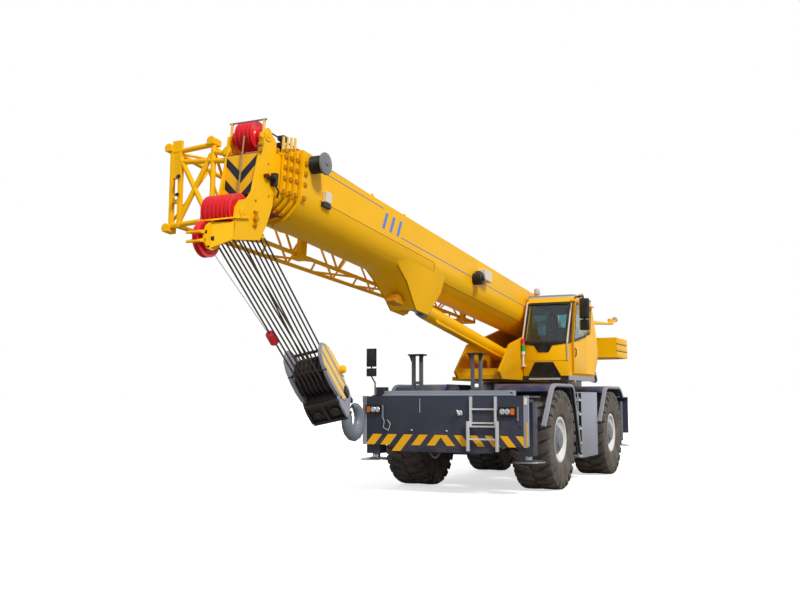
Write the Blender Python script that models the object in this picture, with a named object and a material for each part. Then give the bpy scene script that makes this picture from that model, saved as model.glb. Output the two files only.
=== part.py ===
# Rough terrain crane: two steered axles, four outriggers, slewing superstructure and a five-section boom.
# Metres, +X forward, +Y left, +Z up. The ground is z = 0 and y = 0 is the middle of the machine.
# Carrier sizes along X are measured from the front axle, superstructure sizes from the slew axis,
# and boom sizes from the boom's foot pin, along the boom.

import math

import bmesh
import bpy
from mathutils import Vector

# Fits
SEAT = 0.0003            # face to face at rest
RUN = 0.006              # running clearance beside a moving piece
BORE_FIT = 0.0007        # a pin or rod in its bore, on the radius

# Main stations
FRONT_AXLE_X = -1.215    # puts the origin under the middle of the whole machine
WHEELBASE = 4.13
SLEW_X = -2.20           # slew axis behind the front axle
SLEW_FACE_Z = 2.05       # where the superstructure sits on the carrier

# Wheels
HUB_Z = 0.935
TYRE_RADIUS = 0.937
TYRE_WIDTH = 0.75
TREAD_DEPTH = 0.055
LUGS = 18
LUG_SHARE = 0.52
LUG_SLANT = 0.55         # how far a lug sweeps round, as a share of its pitch
RIM_RADIUS = 0.42
BEAD_RADIUS = 0.385
RIM_HALF = 0.29
RIM_LIP = 0.03
RIM_SIDES = 20
HUB_FACE = 0.28          # outer end of the hub from the wheel's middle
TRACK_HALF = 1.285       # wheel centre from the middle
KINGPIN_Y = 1.00
SPINDLE_RADIUS = 0.13
SPINDLE_END_Y = 1.38

# Axles
AXLE_TUBE_RADIUS = 0.15
DIFFERENTIAL_RADIUS = 0.30
KINGPIN_BOSS_RADIUS = 0.12
KINGPIN_BOSS_HALF = 0.17
YOKE_RADIUS = 0.15
YOKE_PLATE = 0.06
YOKE_OUTER = KINGPIN_BOSS_RADIUS + RUN + YOKE_PLATE   # from the kingpin
AXLE_PAD_Y = 0.33

# Chassis frame
FRAME_TOP_Z = 1.75
FRAME_BOTTOM_Z = 1.30
FRAME_HALF = 0.44        # between the steered wheels
FRAME_WIDE_HALF = 0.78   # under the slew ring
FRAME_WIDE_X = (-2.90, -1.24)
RING_RADIUS = 0.76

# Outrigger boxes, beams and jacks
BOX_FRONT_X = 1.21       # the front box's face next to the wheels
BOX_REAR_X = -5.32
BOX_HALF = 1.20
BOX_BOTTOM_Z = 0.90
BOX_WALL = 0.03
APRON = 0.03
APRON_HALF = 1.60
APRON_SIDE_Z = 0.87
APRON_MIDDLE_Z = 0.75
APRON_STEP_Y = 1.00
LEDGE_X = (1.60, 1.66)
LEDGE_Y = (0.80, 1.24)
LEDGE_TOP_Z = 1.85
CORNER_BOX_Y = (-1.47, -1.27)
CORNER_BOX_TOP_Z = 1.92
HANDLE_Y = (1.11, 1.31)
HANDLE_TOP_Z = 1.81
BEAM_WIDTH = 0.29
BEAM_HEIGHT = 0.34
BEAM_WALL = 0.03
BEAM_BOTTOM_Z = 0.98
JACK_Y = BOX_HALF + 0.22
JACK_TUBE = 0.27
JACK_TUBE_Z = (0.70, 1.64)
JACK_ROD_RADIUS = 0.075
FLOAT_RADIUS = 0.30
FLOAT_Z = 0.58
FLOAT_THICK = 0.05

# Fenders and decks
FENDER_INNER_Y = 0.50
FENDER_OUTER_Y = 1.66
FENDER_BAND = 0.08
FENDER_SHEET = 0.035
FENDER_TOP_Z = 1.95
FENDER_TOP_X = (-0.83, 0.50)
FENDER_FRONT_FOOT = (1.10, 1.20)
FENDER_REAR_FOOT = (-1.34, 0.62)
FENDER_REAR_STUB = (-1.13, 1.7503)

# Side tanks with steps
TANK_X = (-2.92, -1.60)
TANK_Z = (0.50, 1.84)
TANK_OUTER_Y = 1.60
STEP_DEPTH = 0.17
STEP_INNER_Y = 1.28
STEP_RISE = 0.29
STEP_BAR = 0.03

# Engine and hood
HOOD_X = (-6.00, -4.74)
HOOD_HALF = 0.46
HOOD_TOP_Z = 2.36
HOOD_WALL = 0.02
ENGINE_X = (-5.90, -4.82)
ENGINE_HALF = 0.36
ENGINE_HEIGHT = 0.52

# Front fittings
LADDER_Y = (0.56, 1.02)
LADDER_Z = (0.79, 1.74)
LADDER_FOLD_Z = 1.26
REST_Y = 0.58
REST_HALF = 0.17
REST_X = 1.72
REST_TOP_Z = 2.52
MIRROR_POST_Y = -APRON_HALF + 0.17
MIRROR_X = 1.77

# Superstructure, from the slew axis
PIVOT_X = -1.70
PIVOT_Z = 3.25
CHEEK_GAP_HALF = 0.4303
CHEEK = 0.05
PLATFORM_Z = (2.09, 2.17)
COUNTERWEIGHT_X = (-4.35, -3.00)
COUNTERWEIGHT_HALF = 1.55
COUNTERWEIGHT_Z = (2.70, 3.20)
LUFF_BASE_X = 0.90
LUFF_BASE_Z = 2.63

# Boom, from its foot pin
BOOM_ANGLE = math.radians(5.0)
BASE_HALF = 0.40
BASE_TOP = 0.60
BASE_BOTTOM = -0.30
SECTION_STEP = 0.032     # each section is this much smaller all round
SECTION_WALL = 0.018
BASE_TAIL = -0.25
BASE_NOSE = 11.44
BASE_SLEEVE = 0.47       # length of the base section's nose sleeve
COLLAR = 0.05
COLLAR_PITCH = 0.09
COLLAR_PROUD = 0.03
FIN_Y = (0.06, 0.12)     # rope guide on top of each collar
FIN_HEIGHT = 0.15
BELLY_PROUD = 0.01       # doubler plates round the base section's bottom
BELLY_START_X = 0.30
BELLY_STEP_X = 7.10
BELLY_TOP_Z = (-0.13, 0.10)  # behind the step, in front of it
HEAD_START = 11.82
HEAD_HALF = 0.25
HEAD_PLATE = 0.03
HEAD_OUTLINE = [
    (HEAD_START, 0.46), (11.88, 0.56), (11.92, 0.74), (12.08, 0.74), (12.12, 0.60), (12.24, 0.56), (12.27, 0.30),
    (12.36, -0.15), (12.54, -0.34), (12.60, -0.55), (12.84, -0.61), (12.92, -0.80), (12.92, -0.95),
    (12.84, -1.02), (12.54, -0.88), (12.04, -0.72), (11.86, -0.34), (HEAD_START, -0.20),
]
PANEL_X = (12.15, 12.19) # warning panel between the sheave groups
PANEL_Z = (-0.13, 0.38)
GUARD_X = (12.15, 12.18) # rope guard over the upper sheaves
GUARD_TOP_Z = 0.87
REEL_X = 11.20           # cable reel on the base section's nose
REEL_Z = 0.50
UPPER_SHEAVES = (12.00, 0.66)
LOWER_SHEAVES = (12.40, -0.43)
NOSE_SHEAVE = (12.73, -0.83)
SHEAVE_RADIUS = 0.22
SHEAVE_SHAFT = 0.05
SHEAVE_SIDES = 16

# Luffing cylinder
LUFF_EYE = (7.083, -0.585)   # on the boom
BARREL_RADIUS = 0.14
ROD_RADIUS = 0.10
EYE_RADIUS = 0.11
BARREL_LENGTH = 3.95
FORK_HALF = 0.16

# Stowed jib, from the boom's foot pin
JIB_ROOT_X = 12.08
JIB_TIP_X = 2.90
# y and z at the root, y and z at the tip: lower inner, lower outer, upper outer, upper inner
JIB_CHORDS = [
    ((-0.50, -0.39), (-0.50, -0.20)),
    ((-1.08, -0.39), (-0.80, -0.20)),
    ((-1.08, 0.55), (-0.80, 0.15)),
    ((-0.50, 0.55), (-0.50, 0.15)),
]
JIB_BAYS = 10
JIB_SADDLES = (0.22, 0.90)   # places of the brackets, as shares of the jib
SADDLE_PLATE = 0.06
SADDLE_TOP = 0.30
CHORD_HALF = 0.03
BRACE_RADIUS = 0.018
JIB_LEG = [(-1.16, 0.60), (-0.99, 0.60), (-0.92, -0.43), (-1.09, -0.43)]
JIB_LEG_HALF = 0.03
# middle y and z, half width, half height
JIB_SLOTS = [(-1.055, 0.05, 0.03, 0.11), (-1.025, -0.22, 0.03, 0.11)]
JIB_BRACES = [((-1.00, 0.46), (-0.50, -0.36)), ((-0.52, 0.48), (-0.96, -0.38))]

# Hook block, from the lower sheaves
HANG_ANGLE = math.radians(48.5)
BLOCK_DROP = 2.85
BLOCK_HALF = 0.30
BLOCK_CHEEK = 0.05
BLOCK_SHEAVE_RADIUS = 0.24
# right half of a cheek, from the sheave's centre
BLOCK_OUTLINE = [(0.12, 0.47), (0.23, 0.28), (0.26, 0.0), (0.22, -0.32), (0.12, -0.49)]
WEIGHT_X = (-0.18, 0.30)
WEIGHT_Z = (-0.58, -0.34)
TRUNNION_DROP = 0.45     # the hook's pivot below the block's sheaves
HOOK_TILT = math.radians(18)
SWIVEL_HALF = 0.10
SWIVEL_DEPTH = 0.20
HOOK_SHANK = 0.27
HOOK_DROP = 0.84
HOOK_RADIUS = 0.205      # middle line of the bowl
# angle round the bowl from its +X side, thickness as a radius
HOOK_ARC = [
    (112, 0.060), (80, 0.064), (48, 0.070), (16, 0.076), (-16, 0.082), (-48, 0.085), (-80, 0.085), (-112, 0.080),
    (-144, 0.068), (-172, 0.052), (-196, 0.032),
]
ROPE_RADIUS = 0.011
ROPE_SIDES = 6
ROPE_PAIRS = 6
ROPE_PITCH = 0.071       # between neighbouring sheaves

# Cab, from the slew axis
CAB_Y = (0.50, 1.45)
CAB_WALL = 0.05
CAB_BOTTOM_Z = 2.1703
CAB_OUTLINE = [
    (0.98, CAB_BOTTOM_Z), (1.05, 2.84), (0.65, 3.72), (0.52, 3.84), (-0.92, 3.84), (-1.01, 3.75),
    (-1.42, 3.05), (-1.50, 2.77), (-1.42, 2.50), (-1.10, CAB_BOTTOM_Z),
]
WINDSHIELD_Z = (2.88, 3.68)
QUARTER_WINDOW = [(-0.38, 3.06), (-0.38, 3.66), (-0.90, 3.66), (-0.80, 3.14)]
DOOR_X = (-0.30, 0.72)
DOOR_Z = (2.26, 3.72)
DOOR_OUTLINE = [(DOOR_X[1], DOOR_Z[0]), (DOOR_X[1], 2.95), (DOOR_X[1] - 0.20, DOOR_Z[1]), (DOOR_X[0], DOOR_Z[1]),
                (DOOR_X[0], DOOR_Z[0])]
DOOR_WINDOW = [(0.66, 2.88), (0.47, 3.66), (-0.24, 3.66), (-0.24, 3.03)]
DOOR_TRAVEL = 0.75
DOOR_THICK = 0.045
BEACON = (0.30, 0.60)
BEACON_TOP_Z = 3.98
MIRROR_ARM = [(0.45, 1.38, 3.81), (0.46, 1.63, 3.88), (0.46, 1.63, 3.20)]
# half width, low and high edge of each glass
CAB_MIRRORS = [(0.075, 3.38, 3.76), (0.07, 3.15, 3.33)]
REAR_ARM = [(-1.16, 1.32, 3.45), (-2.78, 1.42, 3.50), (-2.88, 1.42, 3.58)]

for old in list(bpy.data.objects):
    bpy.data.objects.remove(old, do_unlink=True)


# Shapes

def loop_mesh(rings, closed_ends):
    """Join rings of equal length into one skin; the ends are capped or joined to each other."""
    shape = bmesh.new()
    rows = [[shape.verts.new(point) for point in ring] for ring in rings]
    count = len(rows[0])
    pairs = list(zip(rows, rows[1:]))
    if not closed_ends:
        pairs.append((rows[-1], rows[0]))
    for first, second in pairs:
        for i in range(count):
            j = (i + 1) % count
            shape.faces.new((first[i], first[j], second[j], second[i]))
    if closed_ends:
        shape.faces.new(rows[0])
        shape.faces.new(rows[-1])
    bmesh.ops.recalc_face_normals(shape, faces=shape.faces)
    return shape


def prism(outline, axis, low, high):
    """Extrude a flat outline along X (points are y, z), Y (x, z) or Z (x, y)."""
    place = {
        "X": lambda along, point: (along, point[0], point[1]),
        "Y": lambda along, point: (point[0], along, point[1]),
        "Z": lambda along, point: (point[0], point[1], along),
    }[axis]
    return loop_mesh([[place(along, point) for point in outline] for along in (low, high)], True)


def box(x, y, z):
    """A block between the low and high values of each axis."""
    return prism([(x[0], z[0]), (x[1], z[0]), (x[1], z[1]), (x[0], z[1])], "Y", min(y), max(y))


def turned(profile, steps, centre=(0.0, 0.0, 0.0), axis="Y", turn=0.5):
    """Turn a closed outline of (along, radius) points, all off the axis, into a ring."""
    rings = []
    for k in range(steps):
        angle = 2 * math.pi * (k + turn) / steps
        c, s = math.cos(angle), math.sin(angle)
        ring = []
        for along, radius in profile:
            point = {"X": (along, radius * c, radius * s),
                     "Y": (radius * c, along, radius * s),
                     "Z": (radius * c, radius * s, along)}[axis]
            ring.append(Vector(point) + Vector(centre))
        rings.append(ring)
    return loop_mesh(rings, False)


def circle(radius, sides, centre=(0.0, 0.0), turn=0.5):
    """A round outline with a flat at the bottom when turn is a half."""
    points = []
    for k in range(sides):
        angle = 2 * math.pi * (k + turn) / sides
        points.append((centre[0] + radius * math.cos(angle), centre[1] + radius * math.sin(angle)))
    return points


def cylinder(axis, centre, radius, low, high, sides=16):
    """A round bar along X, Y or Z; centre is its middle in the other two axes."""
    return prism(circle(radius, sides, centre), axis, low, high)


def pipe(points, radius, sides=8):
    """A round bar along a bent line, mitred at each corner; the radius may be a list, one for each point."""
    points = [Vector(point) for point in points]
    radii = radius if isinstance(radius, list) else [radius] * len(points)
    rings = []
    side = None
    for k, point in enumerate(points):
        before = (point - points[k - 1]).normalized() if k else None
        after = (points[k + 1] - point).normalized() if k + 1 < len(points) else None
        along = (before + after).normalized() if before and after else (before or after)
        if side is None:
            side = along.orthogonal().normalized()
        heading = before or after
        side = (side - heading * side.dot(heading)).normalized()
        up = heading.cross(side)
        ring = []
        for i in range(sides):
            angle = 2 * math.pi * i / sides
            offset = (side * math.cos(angle) + up * math.sin(angle)) * radii[k]
            offset -= heading * (offset.dot(along) / heading.dot(along))
            ring.append(point + offset)
        rings.append(ring)
        if after:
            side = (side - after * side.dot(after)).normalized()
    return loop_mesh(rings, True)


# Materials and nodes

def paint(name, color, roughness, metallic=0.0):
    material = bpy.data.materials.new(name)
    material.use_nodes = True
    shader = material.node_tree.nodes["Principled BSDF"]
    shader.inputs["Base Color"].default_value = (*color, 1.0)
    shader.inputs["Roughness"].default_value = roughness
    shader.inputs["Metallic"].default_value = metallic
    return material


YELLOW = paint("crane yellow", (0.85, 0.47, 0.02), 0.4)
SLATE = paint("carrier slate", (0.035, 0.045, 0.075), 0.45)
GREY_BLUE = paint("fender blue grey", (0.25, 0.30, 0.38), 0.45)
RED = paint("sheave red", (0.62, 0.03, 0.05), 0.45)
RUBBER = paint("tyre rubber", (0.06, 0.05, 0.045), 0.85)
RIM_WHITE = paint("rim white", (0.75, 0.75, 0.75), 0.4)
STEEL = paint("bare steel", (0.55, 0.56, 0.58), 0.35, 1.0)
BLACK = paint("black parts", (0.02, 0.02, 0.022), 0.5)


def empty(name, parent=None, location=(0.0, 0.0, 0.0), tilt=0.0):
    """A frame to build in; tilt lifts its +X end, about the Y axis."""
    marker = bpy.data.objects.new(name, None)
    bpy.context.scene.collection.objects.link(marker)
    marker.parent = parent
    marker.location = location
    marker.rotation_euler = (0.0, -tilt, 0.0)
    return marker


def mesh_of(shape, name):
    mesh = bpy.data.meshes.new(name)
    shape.to_mesh(mesh)
    shape.free()
    mesh.shade_smooth()
    mesh.set_sharp_from_angle(angle=math.radians(32))
    return mesh


def node(name, material, parent, pieces, cuts=(), later=()):
    """One solid: the pieces joined, the cuts taken out of them, then the later pieces joined."""
    solid = bpy.data.objects.new(name, mesh_of(pieces[0], name))
    solid.data.materials.append(material)
    solid.parent = parent
    bpy.context.scene.collection.objects.link(solid)
    for operation, shapes in (("UNION", pieces[1:]), ("DIFFERENCE", cuts), ("UNION", later)):
        if not shapes:
            continue
        tools = bpy.data.collections.new(f"{name} {operation.lower()}")
        tools.hide_render = True
        bpy.context.scene.collection.children.link(tools)
        for k, shape in enumerate(shapes):
            tool = bpy.data.objects.new(f"{name}.{operation.lower()}.{k}", mesh_of(shape, name))
            tool.data.materials.append(material)
            tool.parent = parent
            tool.hide_render = True
            tool.display_type = "WIRE"
            tools.objects.link(tool)
        step = solid.modifiers.new(operation.title(), "BOOLEAN")
        step.operation = operation
        step.solver = "EXACT"
        step.operand_type = "COLLECTION"
        step.collection = tools
    return solid


# Frames that the nodes are built in
carrier = empty("carrier_frame", None, (FRONT_AXLE_X, 0.0, 0.0))
superstructure = empty("superstructure_frame", carrier, (SLEW_X, 0.0, 0.0))
boom = empty("boom_frame", superstructure, (PIVOT_X, 0.0, PIVOT_Z), BOOM_ANGLE)


# Wheels

def tyre_shape(side):
    """A tyre with two rows of slanted lugs; its low side has a lug's flat on the ground."""
    half = TYRE_WIDTH / 2
    floor = TYRE_RADIUS - TREAD_DEPTH
    bead = BEAD_RADIUS + 0.003
    pitch = 2 * math.pi / LUGS
    # across the tyre, radius of a gap, radius of a lug, share of the slant
    stations = [
        (RIM_HALF - SEAT, bead, bead, 0.0),
        (RIM_HALF - SEAT, RIM_RADIUS + 0.03, RIM_RADIUS + 0.03, 0.0),
        (half, 0.68, 0.70, 0.3),
        (half * 0.90, floor - 0.01, TYRE_RADIUS, 0.85),
        (0.025, floor, TYRE_RADIUS, 0.0),
    ]
    angles = []
    for k in range(LUGS):
        for share, on_lug in ((0.0, False), (0.07, True), (LUG_SHARE - 0.07, True), (LUG_SHARE, False)):
            angles.append(((k + share - LUG_SHARE / 2) * pitch, on_lug))
    rings = []
    for row, sign in ((stations, 1), (list(reversed(stations)), -1)):
        for across, low, high, slant in row:
            shift = slant * LUG_SLANT * pitch * side - math.pi / 2
            shift += pitch / 2 if sign < 0 else 0.0
            ring = []
            for angle, on_lug in angles:
                radius = high if on_lug else low
                ring.append((radius * math.cos(angle + shift), across * sign,
                             radius * math.sin(angle + shift)))
            if sign < 0:
                count = len(ring)
                ring = ring[-count // LUGS // 2:] + ring[:-count // LUGS // 2]
            rings.append(ring)
    return loop_mesh(rings, False)


def round_bore(radius, sides, fit=BORE_FIT):
    """Corner radius of a bore whose flats clear a round bar by the fit."""
    return (radius + fit / 2) / math.cos(math.pi / sides)


def rim_profile():
    """Half section of the rim, outer side at +; along the axle, then radius."""
    bore = round_bore(SPINDLE_RADIUS, RIM_SIDES)
    inner = YOKE_OUTER - (TRACK_HALF - KINGPIN_Y) + RUN
    return [
        (RIM_HALF + RIM_LIP, RIM_RADIUS), (RIM_HALF, RIM_RADIUS), (RIM_HALF, BEAD_RADIUS),
        (-RIM_HALF, BEAD_RADIUS), (-RIM_HALF, RIM_RADIUS), (-RIM_HALF - RIM_LIP, RIM_RADIUS),
        (-RIM_HALF - RIM_LIP, 0.36), (0.02, 0.34), (inner, bore + 0.06), (inner, bore),
        (HUB_FACE, bore), (HUB_FACE, bore + 0.03), (0.16, bore + 0.09), (0.07, 0.34),
    ]


wheel_frames = {}
# corner, distance from the front axle, side
CORNERS = [
    ("front_left", 0.0, 1), ("front_right", 0.0, -1),
    ("rear_left", -WHEELBASE, 1), ("rear_right", -WHEELBASE, -1),
]
for corner, axle_x, side in CORNERS:
    steer = empty(f"steer_{corner}", carrier, (axle_x, side * KINGPIN_Y, HUB_Z))
    offset = TRACK_HALF - KINGPIN_Y
    wheel = empty(f"wheel_{corner}", steer, (0.0, side * offset, 0.0))
    node(f"tyre_{corner}", RUBBER, wheel, [tyre_shape(side)])
    rim = [(along * side, radius) for along, radius in rim_profile()]
    spindle_end = SPINDLE_END_Y - KINGPIN_Y
    cap = sorted((side * (spindle_end - offset + SEAT), side * (HUB_FACE + 0.02)))
    node(f"rim_{corner}", RIM_WHITE, wheel,
         [turned(rim, RIM_SIDES), cylinder("Y", (0.0, 0.0), SPINDLE_RADIUS + 0.012, *cap, RIM_SIDES)])
    plate_y = (KINGPIN_BOSS_RADIUS + RUN, YOKE_OUTER)
    ear_z = (KINGPIN_BOSS_HALF + SEAT, KINGPIN_BOSS_HALF + SEAT + YOKE_PLATE)
    ears = []
    for sign in (1, -1):
        ears.append(prism(circle(YOKE_RADIUS, 12), "Z", *sorted((sign * ear_z[0], sign * ear_z[1]))))
        ears.append(box((-YOKE_RADIUS * 0.9, YOKE_RADIUS * 0.9), (0.0, side * plate_y[1]),
                        sorted((sign * ear_z[0], sign * ear_z[1]))))
    web = box((-YOKE_RADIUS * 0.9, YOKE_RADIUS * 0.9), (side * plate_y[0], side * plate_y[1]),
              (-ear_z[1], ear_z[1]))
    spindle = cylinder("Y", (0.0, 0.0), SPINDLE_RADIUS, *sorted((side * plate_y[0], side * spindle_end)), RIM_SIDES)
    node(f"knuckle_{corner}", SLATE, steer, [web, spindle] + ears)

for name, axle_x in (("front_axle", 0.0), ("rear_axle", -WHEELBASE)):
    reach = KINGPIN_Y
    tube = cylinder("Y", (axle_x, HUB_Z), AXLE_TUBE_RADIUS, -reach + 0.06, reach - 0.06, 12)
    bulge = [(-0.30, 0.06), (-0.30, 0.17), (-0.16, DIFFERENTIAL_RADIUS), (0.16, DIFFERENTIAL_RADIUS),
             (0.30, 0.17), (0.30, 0.06)]
    differential = turned(bulge, 12, (axle_x, 0.0, HUB_Z))
    pieces = [tube, differential]
    for side in (1, -1):
        boss = circle(KINGPIN_BOSS_RADIUS, 12, (axle_x, side * KINGPIN_Y))
        pieces.append(prism(boss, "Z", HUB_Z - KINGPIN_BOSS_HALF, HUB_Z + KINGPIN_BOSS_HALF))
        pieces.append(box((axle_x - 0.14, axle_x + 0.14), (side * (AXLE_PAD_Y - 0.09), side * (AXLE_PAD_Y + 0.09)),
                          (HUB_Z, FRAME_BOTTOM_Z - SEAT)))
    node(name, SLATE, carrier, pieces)


# Chassis frame
frame_outline = []
for x, half in ((BOX_REAR_X + SEAT, FRAME_HALF), (FRAME_WIDE_X[0] - 0.12, FRAME_HALF),
                (FRAME_WIDE_X[0], FRAME_WIDE_HALF), (FRAME_WIDE_X[1], FRAME_WIDE_HALF),
                (FRAME_WIDE_X[1] + 0.12, FRAME_HALF), (BOX_FRONT_X - SEAT, FRAME_HALF)):
    frame_outline.append((x, half))
frame_outline += [(x, -half) for x, half in reversed(frame_outline)]
ring_base = prism(circle(RING_RADIUS, 32, (SLEW_X, 0.0)), "Z", FRAME_TOP_Z - 0.05, SLEW_FACE_Z)
node("chassis_frame", SLATE, carrier,
     [prism(frame_outline, "Z", FRAME_BOTTOM_Z, FRAME_TOP_Z), ring_base])


# Outrigger boxes, beams and jacks
LANE = BEAM_WIDTH + 2 * RUN
BOX_DEPTH = 2 * LANE + 3 * BOX_WALL
TUNNEL_HEIGHT = BEAM_HEIGHT + SEAT + 2 * RUN
# name, face next to the wheels, direction away from the wheels
BOXES = [("front", BOX_FRONT_X, 1), ("rear", BOX_REAR_X, -1)]


def lane_middle(face, away, lane):
    """X of a beam's middle; lane 0 is next to the wheels."""
    return face + away * (BOX_WALL + LANE / 2 + lane * (LANE + BOX_WALL))


for end, face, away in BOXES:
    outer = face + away * BOX_DEPTH
    apron_outline = [
        (-APRON_HALF, APRON_SIDE_Z), (-APRON_STEP_Y, APRON_SIDE_Z), (-APRON_STEP_Y + 0.06, APRON_MIDDLE_Z),
        (APRON_STEP_Y - 0.06, APRON_MIDDLE_Z), (APRON_STEP_Y, APRON_SIDE_Z), (APRON_HALF, APRON_SIDE_Z),
        (APRON_HALF, FRAME_TOP_Z), (-APRON_HALF, FRAME_TOP_Z),
    ]
    body = box(sorted((face, outer + away * APRON / 2)), (-BOX_HALF, BOX_HALF), (BOX_BOTTOM_Z, FRAME_TOP_Z - 0.01))
    apron = prism(apron_outline, "X", *sorted((outer, outer + away * APRON)))
    deck = box(sorted((face, outer + away * APRON)), (-APRON_HALF, APRON_HALF), (FRAME_TOP_Z - 0.03, FRAME_TOP_Z))
    tunnels = []
    for lane in (0, 1):
        middle = lane_middle(face, away, lane)
        tunnels.append(box((middle - LANE / 2, middle + LANE / 2), (-BOX_HALF - 0.1, BOX_HALF + 0.1),
                           (BEAM_BOTTOM_Z - SEAT, BEAM_BOTTOM_Z - SEAT + TUNNEL_HEIGHT)))
    fittings = []
    if end == "front":
        for side in (1, -1):
            fittings.append(box(LEDGE_X, (side * LEDGE_Y[0], side * LEDGE_Y[1]), (FRAME_TOP_Z - 0.01, LEDGE_TOP_Z)))
        fittings.append(box((LEDGE_X[0] - 0.08, LEDGE_X[1]), CORNER_BOX_Y, (FRAME_TOP_Z - 0.01, CORNER_BOX_TOP_Z)))
        handle_x = outer + APRON / 2
        handle = [(handle_x, HANDLE_Y[0], FRAME_TOP_Z - 0.01), (handle_x, HANDLE_Y[0], HANDLE_TOP_Z),
                  (handle_x, HANDLE_Y[1], HANDLE_TOP_Z), (handle_x, HANDLE_Y[1], FRAME_TOP_Z - 0.01)]
        fittings.append(pipe(handle, 0.012, 6))
    node(f"{end}_outrigger_box", SLATE, carrier, [body, apron, deck] + fittings, tunnels)
    for side, hand in ((1, "left"), (-1, "right")):
        lane = 0 if side > 0 else 1
        middle = lane_middle(face, away, lane)
        slide = empty(f"beam_{end}_{hand}", carrier, (middle, side * JACK_Y, 0.0))
        length = JACK_Y + BOX_HALF - 0.06
        beam = box((-BEAM_WIDTH / 2, BEAM_WIDTH / 2), (0.0, -side * length),
                   (BEAM_BOTTOM_Z, BEAM_BOTTOM_Z + BEAM_HEIGHT))
        tube = box((-JACK_TUBE / 2, JACK_TUBE / 2), (-JACK_TUBE / 2, JACK_TUBE / 2), JACK_TUBE_Z)
        hollow = box((-BEAM_WIDTH / 2 + BEAM_WALL, BEAM_WIDTH / 2 - BEAM_WALL),
                     (-side * (JACK_TUBE / 2 + 0.05), -side * (length + 0.1)),
                     (BEAM_BOTTOM_Z + BEAM_WALL, BEAM_BOTTOM_Z + BEAM_HEIGHT - BEAM_WALL))
        bore = cylinder("Z", (0.0, 0.0), JACK_ROD_RADIUS + BORE_FIT, JACK_TUBE_Z[0] - 0.1, JACK_TUBE_Z[1] - 0.04, 12)
        node(f"outrigger_beam_{end}_{hand}", SLATE, slide, [tube, beam], [hollow, bore])
        rod = cylinder("Z", (0.0, 0.0), JACK_ROD_RADIUS, FLOAT_Z + 0.01, JACK_TUBE_Z[1] - 0.10, 12)
        dish = [(FLOAT_Z, 0.02), (FLOAT_Z, FLOAT_RADIUS), (FLOAT_Z + 0.02, FLOAT_RADIUS),
                (FLOAT_Z + FLOAT_THICK, 0.14), (FLOAT_Z + FLOAT_THICK, 0.02)]
        node(f"jack_{end}_{hand}", STEEL, slide, [rod, turned(dish, 16, axis="Z")])


# Fenders and decks

def offset_band(points, thickness):
    """A bent sheet: the points are its lower line and it grows to their left."""
    upper = []
    for k, (x, z) in enumerate(points):
        normals = []
        for a, b in ((k - 1, k), (k, k + 1)):
            if a < 0 or b >= len(points):
                continue
            dx, dz = points[b][0] - points[a][0], points[b][1] - points[a][1]
            size = math.hypot(dx, dz)
            normals.append((-dz / size, dx / size))
        nx = sum(n[0] for n in normals) / len(normals)
        nz = sum(n[1] for n in normals) / len(normals)
        scale = thickness / (nx * nx + nz * nz)
        upper.append((x + nx * scale, z + nz * scale))
    return points + list(reversed(upper))


DECK_Z = (FRAME_TOP_Z + SEAT, FRAME_TOP_Z + 0.09)
# name, axle, rear foot of the arch, deck span along X
DECKS = [
    ("front_deck", 0.0, FENDER_REAR_FOOT, (-1.10, BOX_FRONT_X + 0.20)),
    ("rear_deck", -WHEELBASE, FENDER_REAR_STUB, (-1.90, 0.94)),
]
for name, axle_x, rear_foot, span in DECKS:
    arch = [(axle_x + x, z) for x, z in (rear_foot, (FENDER_TOP_X[0], FENDER_TOP_Z), (FENDER_TOP_X[1], FENDER_TOP_Z))]
    arch = list(reversed([(x, z) for x, z in arch]))
    band = [(axle_x + FENDER_FRONT_FOOT[0], FENDER_FRONT_FOOT[1])] + arch
    pieces = [box((axle_x + span[0], axle_x + span[1]), (-FENDER_INNER_Y, FENDER_INNER_Y), DECK_Z)]
    for side in (1, -1):
        sheet = list(reversed(offset_band(list(reversed(arch)), FENDER_SHEET)))
        pieces.append(prism(sheet, "Y", *sorted((side * FENDER_INNER_Y, side * FENDER_OUTER_Y))))
        strip = list(reversed(offset_band(list(reversed(band)), FENDER_SHEET)))
        pieces.append(prism(strip, "Y", *sorted((side * (FENDER_OUTER_Y - FENDER_BAND), side * (FENDER_OUTER_Y + 0.002)))))
        pieces.append(box((axle_x + FENDER_TOP_X[0], axle_x + FENDER_TOP_X[1]),
                          (side * (FENDER_INNER_Y - 0.03), side * (FENDER_INNER_Y + 0.03)),
                          (DECK_Z[0], FENDER_TOP_Z + 0.02)))
    node(name, GREY_BLUE, carrier, pieces)


# Side tanks with their steps
for name, side in (("fuel_tank", 1), ("hydraulic_tank", -1)):
    inner = FRAME_WIDE_HALF + SEAT
    tank = box(TANK_X, (side * inner, side * TANK_OUTER_Y), TANK_Z)
    pieces = [tank]
    step_x = (TANK_X[1] - 0.01, TANK_X[1] + STEP_DEPTH)
    count = int((TANK_Z[1] - TANK_Z[0]) / STEP_RISE)
    for k in range(count + 1):
        z = TANK_Z[0] + 0.04 + k * STEP_RISE
        pieces.append(box(step_x, (side * STEP_INNER_Y, side * (TANK_OUTER_Y - 0.02)), (z, z + STEP_BAR)))
    pieces.append(box((step_x[1] - STEP_BAR, step_x[1]), (side * (TANK_OUTER_Y - 0.05), side * (TANK_OUTER_Y - 0.02)),
                      (TANK_Z[0] + 0.02, TANK_Z[1] - 0.02)))
    node(name, GREY_BLUE, carrier, pieces)


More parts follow.
